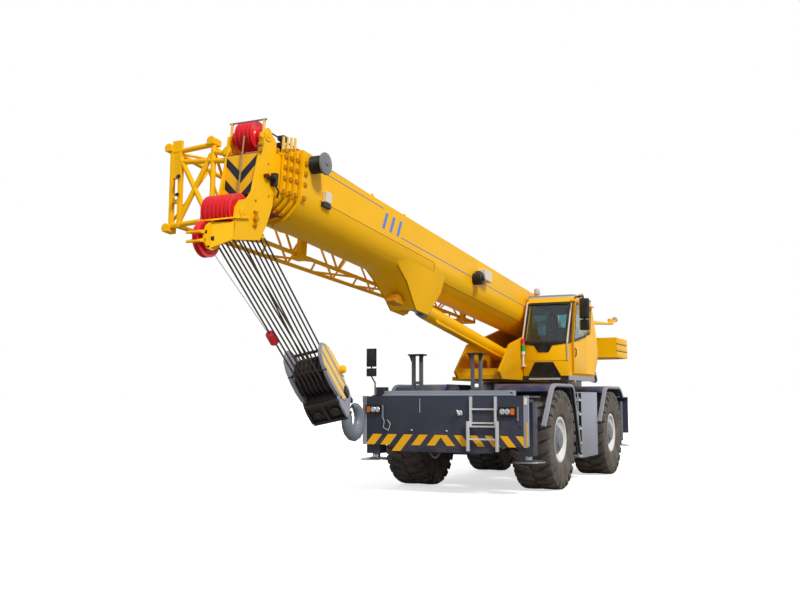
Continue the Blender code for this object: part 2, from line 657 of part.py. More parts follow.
# Engine under its hood
hood = box(HOOD_X, (-HOOD_HALF, HOOD_HALF), (DECK_Z[1] + SEAT, HOOD_TOP_Z))
hood_hollow = box((HOOD_X[0] + HOOD_WALL, HOOD_X[1] - HOOD_WALL), (-HOOD_HALF + HOOD_WALL, HOOD_HALF - HOOD_WALL),
                  (DECK_Z[1] - 0.1, HOOD_TOP_Z - HOOD_WALL))
node("engine_hood", SLATE, carrier, [hood], [hood_hollow])
node("engine_block", BLACK, carrier,
     [box(ENGINE_X, (-ENGINE_HALF, ENGINE_HALF), (DECK_Z[1] + SEAT, DECK_Z[1] + SEAT + ENGINE_HEIGHT - 0.10))])


# Front fittings: ladder, boom rests, lamps and mirror
front_face = BOX_FRONT_X + BOX_DEPTH + APRON
ladder = []
for y in LADDER_Y:
    ladder.append(box((front_face + SEAT, front_face + 0.06), (y - 0.02, y + 0.02), (LADDER_FOLD_Z - 0.05, LADDER_Z[1])))
    outer_y = y + (0.04 if y == LADDER_Y[1] else -0.04)
    ladder.append(box((front_face + 0.04, front_face + 0.10), (outer_y - 0.025, outer_y + 0.025),
                      (LADDER_Z[0], LADDER_FOLD_Z + 0.05)))
    ladder.append(box((front_face + 0.03, front_face + 0.09), (min(y, outer_y) - 0.01, max(y, outer_y) + 0.01),
                      (LADDER_FOLD_Z - 0.04, LADDER_FOLD_Z + 0.04)))
for z in (1.52, 1.28, 1.22, 1.00):
    x = front_face + (0.02 if z > LADDER_FOLD_Z else 0.055)
    ladder.append(box((x, x + 0.035), (LADDER_Y[0] - 0.05, LADDER_Y[1] + 0.05) if z < LADDER_FOLD_Z
                      else LADDER_Y, (z - 0.015, z + 0.015)))
node("front_ladder", STEEL, carrier, ladder)

rests = [box((REST_X - 0.26, REST_X + 0.20), (-REST_Y - REST_HALF, REST_Y + REST_HALF),
             (FRAME_TOP_Z + SEAT, FRAME_TOP_Z + 0.03))]
for side in (1, -1):
    for edge in (-1, 1):
        y = side * REST_Y + edge * (REST_HALF - 0.03)
        rests.append(box((REST_X - 0.05, REST_X + 0.05), (y - 0.03, y + 0.03), (FRAME_TOP_Z + 0.01, REST_TOP_Z - 0.03)))
    rests.append(box((REST_X - 0.13, REST_X + 0.13), (side * REST_Y - REST_HALF - 0.03, side * REST_Y + REST_HALF + 0.03),
                     (REST_TOP_Z - 0.06, REST_TOP_Z)))
    rests.append(box((REST_X - 0.03, REST_X + 0.03), (side * REST_Y - REST_HALF, side * REST_Y + REST_HALF),
                     (FRAME_TOP_Z + 0.15, FRAME_TOP_Z + 0.20)))
node("boom_rests", SLATE, carrier, rests)

# hand, reach across, heights
LAMPS = [
    ("left", (APRON_HALF - 0.52, APRON_HALF - 0.20), (1.40, 1.56)),
    ("right", (-APRON_HALF + 0.08, -APRON_HALF + 0.42), (1.43, 1.61)),
]
for hand, lamp_y, lamp_z in LAMPS:
    lens_x = front_face + 0.035
    panel = box((front_face + SEAT, lens_x), lamp_y, lamp_z)
    middle = sum(lamp_z) / 2
    lamps = [panel]
    width = lamp_y[1] - lamp_y[0]
    for share, radius in ((0.18, 0.045), (0.42, 0.045), (0.76, 0.05)):
        y = lamp_y[0] + share * width if hand == "left" else lamp_y[1] - share * width
        lamps.append(cylinder("X", (y, middle), radius, lens_x - 0.01, lens_x + 0.02, 12))
    node(f"headlamps_{hand}", BLACK, carrier, lamps)

mirror = [
    box((MIRROR_X - 0.04, MIRROR_X + 0.04), (MIRROR_POST_Y - 0.04, MIRROR_POST_Y + 0.04),
        (FRAME_TOP_Z + SEAT, FRAME_TOP_Z + 0.02)),
    pipe([(MIRROR_X, MIRROR_POST_Y, FRAME_TOP_Z + 0.01), (MIRROR_X, MIRROR_POST_Y, 2.00),
          (MIRROR_X + 0.03, MIRROR_POST_Y - 0.06, 2.12), (MIRROR_X + 0.03, MIRROR_POST_Y - 0.06, 2.60)], 0.014),
    box((MIRROR_X, MIRROR_X + 0.06), (MIRROR_POST_Y - 0.15, MIRROR_POST_Y + 0.03), (2.30, 2.64)),
    box((MIRROR_X, MIRROR_X + 0.06), (MIRROR_POST_Y - 0.15, MIRROR_POST_Y + 0.03), (2.12, 2.27)),
]
node("carrier_mirror", BLACK, carrier, mirror)


# Slewing platform with the boom's cheeks
cheek_outline = [
    (2.26, 2.10), (2.41, 2.23), (1.73, 2.80), (-0.40, 3.27), (PIVOT_X + 0.30, 3.52), (PIVOT_X - 0.20, 3.52),
    (PIVOT_X - 0.42, 3.30), (COUNTERWEIGHT_X[1] + SEAT, 3.25), (COUNTERWEIGHT_X[1] + SEAT, 2.74),
    (-1.95, 2.60), (-1.25, 2.10),
]
pieces = [box((-1.25, 2.26), (-CHEEK_GAP_HALF - CHEEK, CHEEK_GAP_HALF + CHEEK), PLATFORM_Z),
          box((-1.10, 0.98), (0.0, CAB_Y[1]), PLATFORM_Z),
          box((-1.10, 0.98), (-1.10, 0.0), PLATFORM_Z),
          prism(circle(RING_RADIUS - 0.04, 32), "Z", SLEW_FACE_Z + SEAT, PLATFORM_Z[0] + 0.02)]
for side in (1, -1):
    inner, outer = side * CHEEK_GAP_HALF, side * (CHEEK_GAP_HALF + CHEEK)
    pieces.append(prism(cheek_outline, "Y", *sorted((inner, outer))))
    pieces.append(cylinder("Y", (PIVOT_X, PIVOT_Z), 0.20, *sorted((side * (CHEEK_GAP_HALF + 0.01), outer + side * 0.04))))
    lug = [(LUFF_BASE_X - 0.30, PLATFORM_Z[1] - 0.01), (LUFF_BASE_X + 0.30, PLATFORM_Z[1] - 0.01),
           (LUFF_BASE_X + 0.12, LUFF_BASE_Z + 0.10), (LUFF_BASE_X - 0.12, LUFF_BASE_Z + 0.10)]
    pieces.append(prism(lug, "Y", *sorted((side * (FORK_HALF + 0.01), side * (FORK_HALF + 0.06)))))
pieces.append(cylinder("Y", (LUFF_BASE_X, LUFF_BASE_Z), 0.06, -FORK_HALF - 0.08, FORK_HALF + 0.08, 20))
pieces.append(box((COUNTERWEIGHT_X[1] + SEAT, COUNTERWEIGHT_X[1] + 0.06), (-CHEEK_GAP_HALF - 0.01, CHEEK_GAP_HALF + 0.01),
                  (2.80, 3.20)))
pieces.append(box((2.10, 2.20), (-CHEEK_GAP_HALF - 0.01, CHEEK_GAP_HALF + 0.01), (2.12, 2.30)))
node("slewing_platform", YELLOW, superstructure, pieces)

slabs = []
layer = (COUNTERWEIGHT_Z[1] - COUNTERWEIGHT_Z[0]) / 3
weight_outline = [
    (COUNTERWEIGHT_X[1], -COUNTERWEIGHT_HALF), (COUNTERWEIGHT_X[1], COUNTERWEIGHT_HALF),
    (COUNTERWEIGHT_X[0] + 0.20, COUNTERWEIGHT_HALF), (COUNTERWEIGHT_X[0], COUNTERWEIGHT_HALF - 0.30),
    (COUNTERWEIGHT_X[0], -COUNTERWEIGHT_HALF + 0.30), (COUNTERWEIGHT_X[0] + 0.20, -COUNTERWEIGHT_HALF),
]
core_outline = [(x * 0.995 - 0.015, y * 0.985) for x, y in weight_outline]
slabs.append(prism(core_outline, "Z", COUNTERWEIGHT_Z[0] + 0.02, COUNTERWEIGHT_Z[1] - 0.02))
for k in range(3):
    low = COUNTERWEIGHT_Z[0] + k * layer
    slabs.append(prism(weight_outline, "Z", low, low + layer - 0.025))
node("counterweight", YELLOW, superstructure, slabs)

# name, place behind the slew axis, height
WINCHES = [("main_winch", -2.72, 2.96), ("auxiliary_winch", -1.25, 2.60)]
for name, drum_x, drum_z in WINCHES:
    winch = empty(name, superstructure, (drum_x, 0.0, drum_z))
    half = CHEEK_GAP_HALF - SEAT
    profile = [(-half, 0.05), (-half, 0.20), (-half + 0.02, 0.20), (-half + 0.02, 0.13), (half - 0.02, 0.13),
               (half - 0.02, 0.20), (half, 0.20), (half, 0.05)]
    node(f"{name}_drum", STEEL, winch, [turned(profile, 20)])


# Cab
def inset(outline, distance):
    """The same outline moved inwards; its points run anticlockwise."""
    moved = []
    count = len(outline)
    for k in range(count):
        before, here, after = outline[k - 1], outline[k], outline[(k + 1) % count]
        first = Vector((here[0] - before[0], here[1] - before[1])).normalized()
        second = Vector((after[0] - here[0], after[1] - here[1])).normalized()
        normal = Vector((-first.y - second.y, first.x + second.x)).normalized()
        reach = distance / max(0.3, normal.dot(Vector((-first.y, first.x))))
        moved.append((here[0] + normal.x * reach, here[1] + normal.y * reach))
    return moved


shell = prism(CAB_OUTLINE, "Y", *CAB_Y)
hollow = prism(inset(CAB_OUTLINE, CAB_WALL), "Y", CAB_Y[0] + CAB_WALL, CAB_Y[1] - CAB_WALL)
middle_y = sum(CAB_Y) / 2
front_y = (CAB_Y[0] + 0.07, CAB_Y[1] - 0.07)
rear_y = (CAB_Y[0] + 0.14, CAB_Y[1] - 0.14)
windows = [
    box((0.50, 1.30), front_y, WINDSHIELD_Z),
    box((DOOR_X[0] + 0.05, DOOR_X[1] - 0.05), (CAB_Y[1] - 0.2, CAB_Y[1] + 0.1), (2.32, 3.66)),
    prism(QUARTER_WINDOW, "Y", CAB_Y[1] - 0.2, CAB_Y[1] + 0.1),
    box((-0.80, 0.55), (CAB_Y[0] - 0.1, CAB_Y[0] + 0.2), (3.00, 3.66)),
    box((-1.60, -0.90), rear_y, (3.15, 3.60)),
    box((-0.45, 0.25), rear_y, (3.70, 4.00)),
]
rail_x = (DOOR_X[0] - DOOR_TRAVEL, DOOR_X[1])
fittings = []
for z in (DOOR_Z[0] - SEAT - 0.015, DOOR_Z[1] + SEAT + 0.015):
    fittings.append(box(rail_x, (CAB_Y[1] - 0.02, CAB_Y[1] + RUN + DOOR_THICK), (z - 0.015, z + 0.015)))
beacon_z = CAB_OUTLINE[3][1]
fittings.append(cylinder("Z", BEACON, 0.05, beacon_z - 0.02, BEACON_TOP_Z, 12))
fittings.append(pipe(MIRROR_ARM, 0.014, 6))
for half, low, high in CAB_MIRRORS:
    x, y = MIRROR_ARM[-1][:2]
    fittings.append(box((x - 0.03, x + 0.03), (y - half, y + half), (low, high)))
fittings.append(pipe(REAR_ARM, 0.025, 6))
lamp_x, lamp_y, lamp_z = REAR_ARM[-1]
fittings.append(cylinder("X", (lamp_y, lamp_z), 0.05, lamp_x - 0.04, lamp_x + 0.04, 12))
node("cab_shell", YELLOW, superstructure, [shell] + fittings, [hollow] + windows)

door_y = (CAB_Y[1] + RUN, CAB_Y[1] + RUN + DOOR_THICK)
node("cab_door", YELLOW, superstructure, [prism(DOOR_OUTLINE, "Y", *door_y)],
     [prism(DOOR_WINDOW, "Y", CAB_Y[1] - 0.1, CAB_Y[1] + 0.2)])

floor_z = CAB_BOTTOM_Z + CAB_WALL + SEAT
seat_x = -0.35
interior = [
    box((seat_x - 0.22, seat_x + 0.25), (middle_y - 0.20, middle_y + 0.20), (floor_z, floor_z + 0.32)),
    box((seat_x - 0.28, seat_x + 0.32), (middle_y - 0.26, middle_y + 0.26), (floor_z + 0.30, floor_z + 0.44)),
    box((seat_x - 0.36, seat_x - 0.20), (middle_y - 0.25, middle_y + 0.25), (floor_z + 0.34, floor_z + 1.05)),
    box((seat_x - 0.10, seat_x + 0.40), (middle_y - 0.38, middle_y - 0.25), (floor_z + 0.36, floor_z + 0.62)),
    box((seat_x - 0.10, seat_x + 0.40), (middle_y + 0.25, middle_y + 0.38), (floor_z + 0.36, floor_z + 0.62)),
]
node("operator_seat", BLACK, superstructure, interior)


# Boom sections

def jib_point(chord, share):
    root, tip = JIB_CHORDS[chord]
    x = JIB_ROOT_X + (JIB_TIP_X - JIB_ROOT_X) * share
    return (x, root[0] + (tip[0] - root[0]) * share, root[1] + (tip[1] - root[1]) * share)


def jib_saddle(share, length):
    """A bracket on the boom's side whose top lies under the jib's lower inner chord."""
    reach = length / (JIB_ROOT_X - JIB_TIP_X)
    rings = []
    for at in (share, share + reach):
        x, y, z = jib_point(0, at)
        top = z - CHORD_HALF - SEAT
        outer, inner = -BASE_HALF - SADDLE_PLATE, -BASE_HALF + 0.01
        rings.append([(x, y - CHORD_HALF, top - SADDLE_PLATE), (x, inner, top - SADDLE_PLATE),
                      (x, inner, SADDLE_TOP), (x, outer, SADDLE_TOP), (x, outer, top), (x, y - CHORD_HALF, top)])
    return loop_mesh(rings, True)


def section_outline(shrink, sides=11):
    """Flat top and sides over a half round bottom with a flat at its lowest; y, z."""
    half = BASE_HALF - shrink
    middle = BASE_BOTTOM + BASE_HALF
    points = [(half, BASE_TOP - shrink), (-half, BASE_TOP - shrink)]
    for k in range(sides + 1):
        angle = math.pi + math.pi * k / sides
        points.append((half * math.cos(angle), middle + half * math.sin(angle)))
    return points


FLAT_SHARE = math.cos(math.pi / 22)


def section_flat(shrink):
    """Height of the flat along the bottom of a section."""
    return BASE_BOTTOM + BASE_HALF - (BASE_HALF - shrink) * FLAT_SHARE


def belly_outline(top, sides=11):
    """The round bottom below a height, a little proud of the section; y, z."""
    radius = BASE_HALF + BELLY_PROUD
    middle = BASE_BOTTOM + BASE_HALF
    start = math.asin((top - middle) / radius)
    points = []
    for k in range(sides + 1):
        angle = math.pi - start + (math.pi + 2 * start) * k / sides
        points.append((radius * math.cos(angle), middle + radius * math.sin(angle)))
    return points


def collar_fin(nose, top):
    """The rope guide that stands on a collar."""
    rear = nose - COLLAR
    middle = nose - COLLAR / 2
    shoulder = top + 0.8 * FIN_HEIGHT
    outline = [(rear, top - 0.01), (nose, top - 0.01), (nose - 0.005, shoulder), (middle, top + FIN_HEIGHT),
               (rear + 0.005, shoulder)]
    return prism(outline, "Y", *FIN_Y)


def section_node(name, shrink, tail, nose, collar, extra):
    """A hollow section with its collar and the pad that carries the next one."""
    outside = prism(section_outline(shrink), "X", tail, nose)
    inside = prism(section_outline(shrink + SECTION_WALL), "X", tail - 0.1, nose + 0.1)
    rim = prism(section_outline(shrink - COLLAR_PROUD), "X", nose - collar, nose)
    fin = collar_fin(nose, BASE_TOP - shrink + COLLAR_PROUD)
    pad_top = section_flat(shrink + SECTION_STEP) - SEAT
    pad = box((nose - COLLAR, nose - 0.01), (-0.04, 0.04), (section_flat(shrink) + 0.002, pad_top))
    node(name, YELLOW, boom, [outside, rim, fin] + extra, [inside], [pad])


foot = cylinder("Y", (0.0, 0.0), 0.22, -CHEEK_GAP_HALF + SEAT, CHEEK_GAP_HALF - SEAT)
fork = [(LUFF_EYE[0] - 0.75, BASE_BOTTOM + 0.12), (LUFF_EYE[0] - 0.16, LUFF_EYE[1] - 0.14),
        (LUFF_EYE[0] + 0.16, LUFF_EYE[1] - 0.14), (LUFF_EYE[0] + 1.15, BASE_BOTTOM + 0.12)]
extra = [foot]
for side in (1, -1):
    extra.append(prism(fork, "Y", *sorted((side * FORK_HALF, side * (FORK_HALF + 0.06)))))
for share in JIB_SADDLES:
    extra.append(jib_saddle(share, 0.16))
for span, top in zip(((BELLY_START_X, BELLY_STEP_X), (BELLY_STEP_X, BASE_NOSE - 0.01)), BELLY_TOP_Z):
    extra.append(prism(belly_outline(top), "X", *span))
section_node("boom_base_section", 0.0, BASE_TAIL, BASE_NOSE, BASE_SLEEVE, extra)
reel_y = BASE_HALF + COLLAR_PROUD + SEAT
reel = [(reel_y, 0.02), (reel_y, 0.11), (reel_y + 0.18, 0.11), (reel_y + 0.18, 0.145), (reel_y + 0.21, 0.145),
        (reel_y + 0.21, 0.02)]
node("cable_reel", BLACK, boom, [turned(reel, 16, (REEL_X, 0.0, REEL_Z))])
for k in range(1, 4):
    nose = BASE_NOSE + k * COLLAR_PITCH
    section_node(f"boom_section_{k + 1}", k * SECTION_STEP, 0.45 + k * 0.15, nose, COLLAR, [])
last_shrink = 4 * SECTION_STEP
last = prism(section_outline(last_shrink), "X", 1.15, HEAD_START - SEAT)
last_inside = prism(section_outline(last_shrink + SECTION_WALL), "X", 1.0, HEAD_START + 0.1)
node("boom_section_5", YELLOW, boom, [last], [last_inside])

cheek_y = (HEAD_HALF, HEAD_HALF + HEAD_PLATE)
across = (-HEAD_HALF - 0.01, HEAD_HALF + 0.01)
head = [prism(HEAD_OUTLINE, "Y", *cheek_y),
        prism(HEAD_OUTLINE, "Y", -cheek_y[1], -cheek_y[0]),
        prism(section_outline(last_shrink - 0.01), "X", HEAD_START, HEAD_START + 0.05),
        box(PANEL_X, across, PANEL_Z),
        box((12.64, 12.80), across, (-0.60, -0.58)),
        box(GUARD_X, (-cheek_y[1], cheek_y[1]), (GUARD_TOP_Z - 0.03, GUARD_TOP_Z))]
for side in (1, -1):
    head.append(box(GUARD_X, (side * cheek_y[0], side * cheek_y[1]), (0.50, GUARD_TOP_Z - 0.01)))
for x, z in (UPPER_SHEAVES, LOWER_SHEAVES, NOSE_SHEAVE):
    head.append(cylinder("Y", (x, z), SHEAVE_SHAFT, -HEAD_HALF - HEAD_PLATE - 0.02, HEAD_HALF + HEAD_PLATE + 0.02, SHEAVE_SIDES))
node("boom_head", YELLOW, boom, head)


def sheave_pack(count, half, radius):
    """Sheaves side by side on one hub; along the shaft, then radius."""
    bore = round_bore(SHEAVE_SHAFT, SHEAVE_SIDES)
    width = 2 * half / count
    points = [(-half, bore)]
    for k in range(count):
        left = -half + k * width
        points += [(left, radius), (left + width / 2, radius - 0.045)]
    points += [(half, radius), (half, bore)]
    return points


# name, place along the boom, count, half width, radius
SHEAVES = [
    ("upper_sheaves", UPPER_SHEAVES, 6, HEAD_HALF - SEAT, 0.20),
    ("lower_sheaves", LOWER_SHEAVES, 7, HEAD_HALF - SEAT, SHEAVE_RADIUS),
    ("nose_sheave", NOSE_SHEAVE, 1, HEAD_HALF - SEAT, 0.20),
]
# a corner of each pack lies where the hoist ropes leave it
rope_turn = -(BOOM_ANGLE + HANG_ANGLE) * SHEAVE_SIDES / (2 * math.pi)
for name, (x, z), count, half, radius in SHEAVES:
    hub = empty(f"{name}_axis", boom, (x, 0.0, z))
    if name == "nose_sheave":
        bore = round_bore(SHEAVE_SHAFT, SHEAVE_SIDES)
        profile = [(-half, bore), (-half, bore + 0.03), (-0.05, bore + 0.03), (-0.05, radius), (0.0, radius - 0.045),
                   (0.05, radius), (0.05, bore + 0.03), (half, bore + 0.03), (half, bore)]
    else:
        profile = sheave_pack(count, half, radius)
    node(name, RED, hub, [turned(profile, SHEAVE_SIDES, turn=rope_turn)])


# Lattice jib stowed on the boom's right side
def bar(start, end, half):
    """A square tube with level top and bottom faces between two points."""
    corners = ((-half, -half), (half, -half), (half, half), (-half, half))
    return loop_mesh([[(p[0], p[1] + y, p[2] + z) for y, z in corners] for p in (start, end)], True)


jib = [bar(jib_point(chord, 0.0), jib_point(chord, 1.0), CHORD_HALF) for chord in range(4)]
for face in range(4):
    for bay in range(JIB_BAYS):
        first, second = (face, (face + 1) % 4) if bay % 2 == 0 else ((face + 1) % 4, face)
        jib.append(pipe([jib_point(first, bay / JIB_BAYS), jib_point(second, (bay + 1) / JIB_BAYS)], BRACE_RADIUS, 4))
for share in (0.0, 1.0):
    for face in range(4):
        jib.append(pipe([jib_point(face, share), jib_point((face + 1) % 4, share)], CHORD_HALF * 0.9, 4))
leg_x = (JIB_ROOT_X - JIB_LEG_HALF, JIB_ROOT_X + JIB_LEG_HALF)
jib.append(prism(JIB_LEG, "X", *leg_x))
for first, second in JIB_BRACES:
    jib.append(pipe([(JIB_ROOT_X, *first), (JIB_ROOT_X, *second)], BRACE_RADIUS * 1.4, 4))
slots = []
for y, z, half_width, half_height in JIB_SLOTS:
    slots.append(box((leg_x[0] - 0.1, leg_x[1] + 0.1), (y - half_width, y + half_width),
                     (z - half_height, z + half_height)))
node("stowed_jib", YELLOW, boom, jib, slots)


# Luffing cylinder
eye_world = Vector((
    PIVOT_X + LUFF_EYE[0] * math.cos(BOOM_ANGLE) - LUFF_EYE[1] * math.sin(BOOM_ANGLE), 0.0,
    PIVOT_Z + LUFF_EYE[0] * math.sin(BOOM_ANGLE) + LUFF_EYE[1] * math.cos(BOOM_ANGLE)))
base_world = Vector((LUFF_BASE_X, 0.0, LUFF_BASE_Z))
luff_line = eye_world - base_world
luff_tilt = math.atan2(luff_line.z, luff_line.x)
luff_length = luff_line.length
luff = empty("luff_cylinder_axis", superstructure, base_world, luff_tilt)
pin_bore = round_bore(0.06, 20)
barrel = [cylinder("X", (0.0, 0.0), BARREL_RADIUS, 0.06, BARREL_LENGTH, 24),
          cylinder("Y", (0.0, 0.0), 0.13, -FORK_HALF, FORK_HALF, 20)]
barrel_cuts = [cylinder("X", (0.0, 0.0), ROD_RADIUS + BORE_FIT, 0.30, BARREL_LENGTH + 0.1, 24),
               cylinder("Y", (0.0, 0.0), pin_bore, -FORK_HALF - 0.1, FORK_HALF + 0.1, 20)]
node("luff_cylinder_barrel", YELLOW, luff, barrel, barrel_cuts)
rod = [cylinder("X", (0.0, 0.0), ROD_RADIUS, 0.75, luff_length, 24),
       cylinder("Y", (luff_length, 0.0), EYE_RADIUS, -FORK_HALF + 0.02, FORK_HALF - 0.02, 20)]
rod_cuts = [cylinder("Y", (luff_length, 0.0), 0.06, -FORK_HALF - 0.1, FORK_HALF + 0.1, 20)]
node("luff_cylinder_rod", STEEL, luff, rod, rod_cuts)


# Hook block
hang = empty("hang_axis", boom, (LOWER_SHEAVES[0], 0.0, LOWER_SHEAVES[1]), -BOOM_ANGLE - HANG_ANGLE)
cheek = [(x, z - BLOCK_DROP) for x, z in reversed(BLOCK_OUTLINE)]
cheek += [(-x, z - BLOCK_DROP) for x, z in BLOCK_OUTLINE]
trunnion_z = -BLOCK_DROP - TRUNNION_DROP
swivel = []
for x, z in ((-SWIVEL_HALF, 0.05), (SWIVEL_HALF, 0.05), (SWIVEL_HALF, -SWIVEL_DEPTH), (-SWIVEL_HALF, -SWIVEL_DEPTH)):
    swivel.append((x * math.cos(HOOK_TILT) + z * math.sin(HOOK_TILT),
                   trunnion_z - x * math.sin(HOOK_TILT) + z * math.cos(HOOK_TILT)))
block = [prism(cheek, "Y", -BLOCK_HALF, -BLOCK_HALF + BLOCK_CHEEK),
         prism(cheek, "Y", BLOCK_HALF - BLOCK_CHEEK, BLOCK_HALF),
         turned([(-BLOCK_HALF + 0.04, 0.04), (-BLOCK_HALF + 0.04, BLOCK_SHEAVE_RADIUS),
                 (BLOCK_HALF - 0.04, BLOCK_SHEAVE_RADIUS), (BLOCK_HALF - 0.04, 0.04)], 20, (0.0, 0.0, -BLOCK_DROP)),
         cylinder("Y", (0.0, -BLOCK_DROP), 0.06, -BLOCK_HALF - 0.02, BLOCK_HALF + 0.02, 16),
         box(WEIGHT_X, (-BLOCK_HALF + 0.02, BLOCK_HALF - 0.02), (WEIGHT_Z[0] - BLOCK_DROP, WEIGHT_Z[1] - BLOCK_DROP)),
         prism(swivel, "Y", -SWIVEL_HALF, SWIVEL_HALF)]
for k in range(ROPE_PAIRS):
    y = (k - (ROPE_PAIRS - 1) / 2) * ROPE_PITCH
    for side in (1, -1):
        x = side * (SHEAVE_RADIUS + SEAT + ROPE_RADIUS * math.cos(math.pi / ROPE_SIDES))
        block.append(cylinder("Z", (x, y), ROPE_RADIUS, -BLOCK_DROP, 0.0, ROPE_SIDES))
node("hook_block", BLACK, hang, block)

hook_frame = empty("hook_axis", hang, (0.0, 0.0, trunnion_z), -HOOK_TILT)
hook_top = -SWIVEL_DEPTH - SEAT
hook_line = [(0.0, 0.0, hook_top), (0.0, 0.0, hook_top - HOOK_SHANK)]
hook_radii = [HOOK_ARC[0][1]] * 2
for degrees, thickness in HOOK_ARC:
    angle = math.radians(degrees)
    hook_line.append((HOOK_RADIUS * math.cos(angle), 0.0, -HOOK_DROP + HOOK_RADIUS * math.sin(angle)))
    hook_radii.append(thickness)
node("hook", STEEL, hook_frame, [pipe(hook_line, hook_radii, 10)])
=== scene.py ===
import math

import bmesh
import bpy
from mathutils import Matrix, Vector


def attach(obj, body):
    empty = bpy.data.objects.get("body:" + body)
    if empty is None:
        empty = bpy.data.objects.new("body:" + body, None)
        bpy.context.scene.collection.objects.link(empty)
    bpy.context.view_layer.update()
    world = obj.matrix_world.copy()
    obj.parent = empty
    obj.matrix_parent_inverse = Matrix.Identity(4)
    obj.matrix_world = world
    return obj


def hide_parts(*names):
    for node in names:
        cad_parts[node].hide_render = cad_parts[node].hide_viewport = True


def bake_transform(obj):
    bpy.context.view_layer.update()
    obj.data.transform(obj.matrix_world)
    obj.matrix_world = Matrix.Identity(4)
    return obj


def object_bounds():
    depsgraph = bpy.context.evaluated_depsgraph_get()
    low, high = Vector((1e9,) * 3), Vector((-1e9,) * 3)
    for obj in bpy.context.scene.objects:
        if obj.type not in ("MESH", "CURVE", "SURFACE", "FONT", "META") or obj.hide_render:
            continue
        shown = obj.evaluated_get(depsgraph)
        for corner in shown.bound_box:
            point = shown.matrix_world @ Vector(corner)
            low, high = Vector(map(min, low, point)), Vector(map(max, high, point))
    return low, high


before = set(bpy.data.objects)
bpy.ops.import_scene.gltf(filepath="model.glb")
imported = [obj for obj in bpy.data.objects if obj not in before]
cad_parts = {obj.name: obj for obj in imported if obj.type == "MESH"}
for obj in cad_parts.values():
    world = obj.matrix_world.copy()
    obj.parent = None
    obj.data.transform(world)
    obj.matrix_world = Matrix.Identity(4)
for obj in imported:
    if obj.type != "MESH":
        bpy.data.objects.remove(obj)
cad_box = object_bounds()
bpy.context.scene.view_settings.view_transform = "Standard"


# Frames
FRONT_AXLE_X = -1.215
WHEELBASE = 4.13
SLEW_X = -3.415
PIVOT = (-5.115, 0.0, 3.25)
BOOM_ANGLE = math.radians(5.0)
HANG_ANGLE = math.radians(48.5)
HUB_Z = 0.935
TRACK_HALF = 1.285
FRONT_FACE = 1.934       # front of the carrier's apron, from the front axle
APRON_HALF = 1.60
APRON_TOP = 1.75
LOWER_SHEAVES = (12.40, -0.43)
UPPER_SHEAVES = (12.00, 0.66)
NOSE_SHEAVE = (12.73, -0.83)
LUFF_BASE = (-2.515, 0.0, 2.63)
LUFF_EYE = (1.992, 0.0, 3.2846)


def tilted(origin, angle):
    """A frame at origin whose +X end is lifted by angle."""
    return Matrix.Translation(origin) @ Matrix.Rotation(-angle, 4, "Y")


ROW = Matrix.Identity(4)
CARRIER = Matrix.Translation((FRONT_AXLE_X, 0.0, 0.0))
SUPER = Matrix.Translation((SLEW_X, 0.0, 0.0))
BOOM = tilted(PIVOT, BOOM_ANGLE)
HANG = BOOM @ tilted((LOWER_SHEAVES[0], 0.0, LOWER_SHEAVES[1]), -BOOM_ANGLE - HANG_ANGLE)
LUFF = tilted(LUFF_BASE, math.atan2(LUFF_EYE[2] - LUFF_BASE[2], LUFF_EYE[0] - LUFF_BASE[0]))


# Materials

def linear(red, green, blue):
    """Scene colour of an sRGB colour given from 0 to 255."""
    out = []
    for value in (red, green, blue):
        share = value / 255
        out.append(share / 12.92 if share <= 0.04045 else ((share + 0.055) / 1.055) ** 2.4)
    return (*out, 1.0)


def add(material, kind, **values):
    """A new node; values go to its inputs by name, or to its own settings."""
    made = material.node_tree.nodes.new(kind)
    for name, value in values.items():
        label = name.replace("_", " ").title()
        if label in made.inputs:
            made.inputs[label].default_value = value
        else:
            setattr(made, name, value)
    return made


def blank(name, roughness, metallic=0.0):
    """A material with its shader and the place on the object as (material, shader, coordinates)."""
    material = bpy.data.materials.new(name)
    material.use_nodes = True
    shader = material.node_tree.nodes["Principled BSDF"]
    shader.inputs["Roughness"].default_value = roughness
    shader.inputs["Metallic"].default_value = metallic
    place = add(material, "ShaderNodeTexCoord")
    return material, shader, place.outputs["Object"]


def mixed(material, factor, first, second):
    """Blend two colours, sockets or values, by a factor socket."""
    mix = material.node_tree.nodes.new("ShaderNodeMix")
    mix.data_type = "RGBA"
    links = material.node_tree.links
    links.new(factor, mix.inputs["Factor"])
    for colour, label in ((first, "A"), (second, "B")):
        socket = [s for s in mix.inputs if s.name == label and s.type == "RGBA"][0]
        if isinstance(colour, bpy.types.NodeSocket):
            links.new(colour, socket)
        else:
            socket.default_value = colour
    return [s for s in mix.outputs if s.type == "RGBA"][0]


def noise(material, place, scale, detail=4.0, low=0.4, high=0.6):
    """A soft mask from 0 to 1 between the noise values low and high."""
    grain = add(material, "ShaderNodeTexNoise", scale=scale, detail=detail)
    reach = add(material, "ShaderNodeMapRange", from_min=low, from_max=high)
    material.node_tree.links.new(place, grain.inputs["Vector"])
    material.node_tree.links.new(grain.outputs["Fac"], reach.inputs["Value"])
    return reach.outputs["Result"]


def scaled(material, socket, low, high):
    """A 0 to 1 socket moved to the range low to high."""
    reach = add(material, "ShaderNodeMapRange", to_min=low, to_max=high)
    material.node_tree.links.new(socket, reach.inputs["Value"])
    return reach.outputs["Result"]


def bumped(material, shader, height, strength, distance):
    bump = add(material, "ShaderNodeBump", strength=strength, distance=distance)
    material.node_tree.links.new(height, bump.inputs["Height"])
    material.node_tree.links.new(bump.outputs["Normal"], shader.inputs["Normal"])


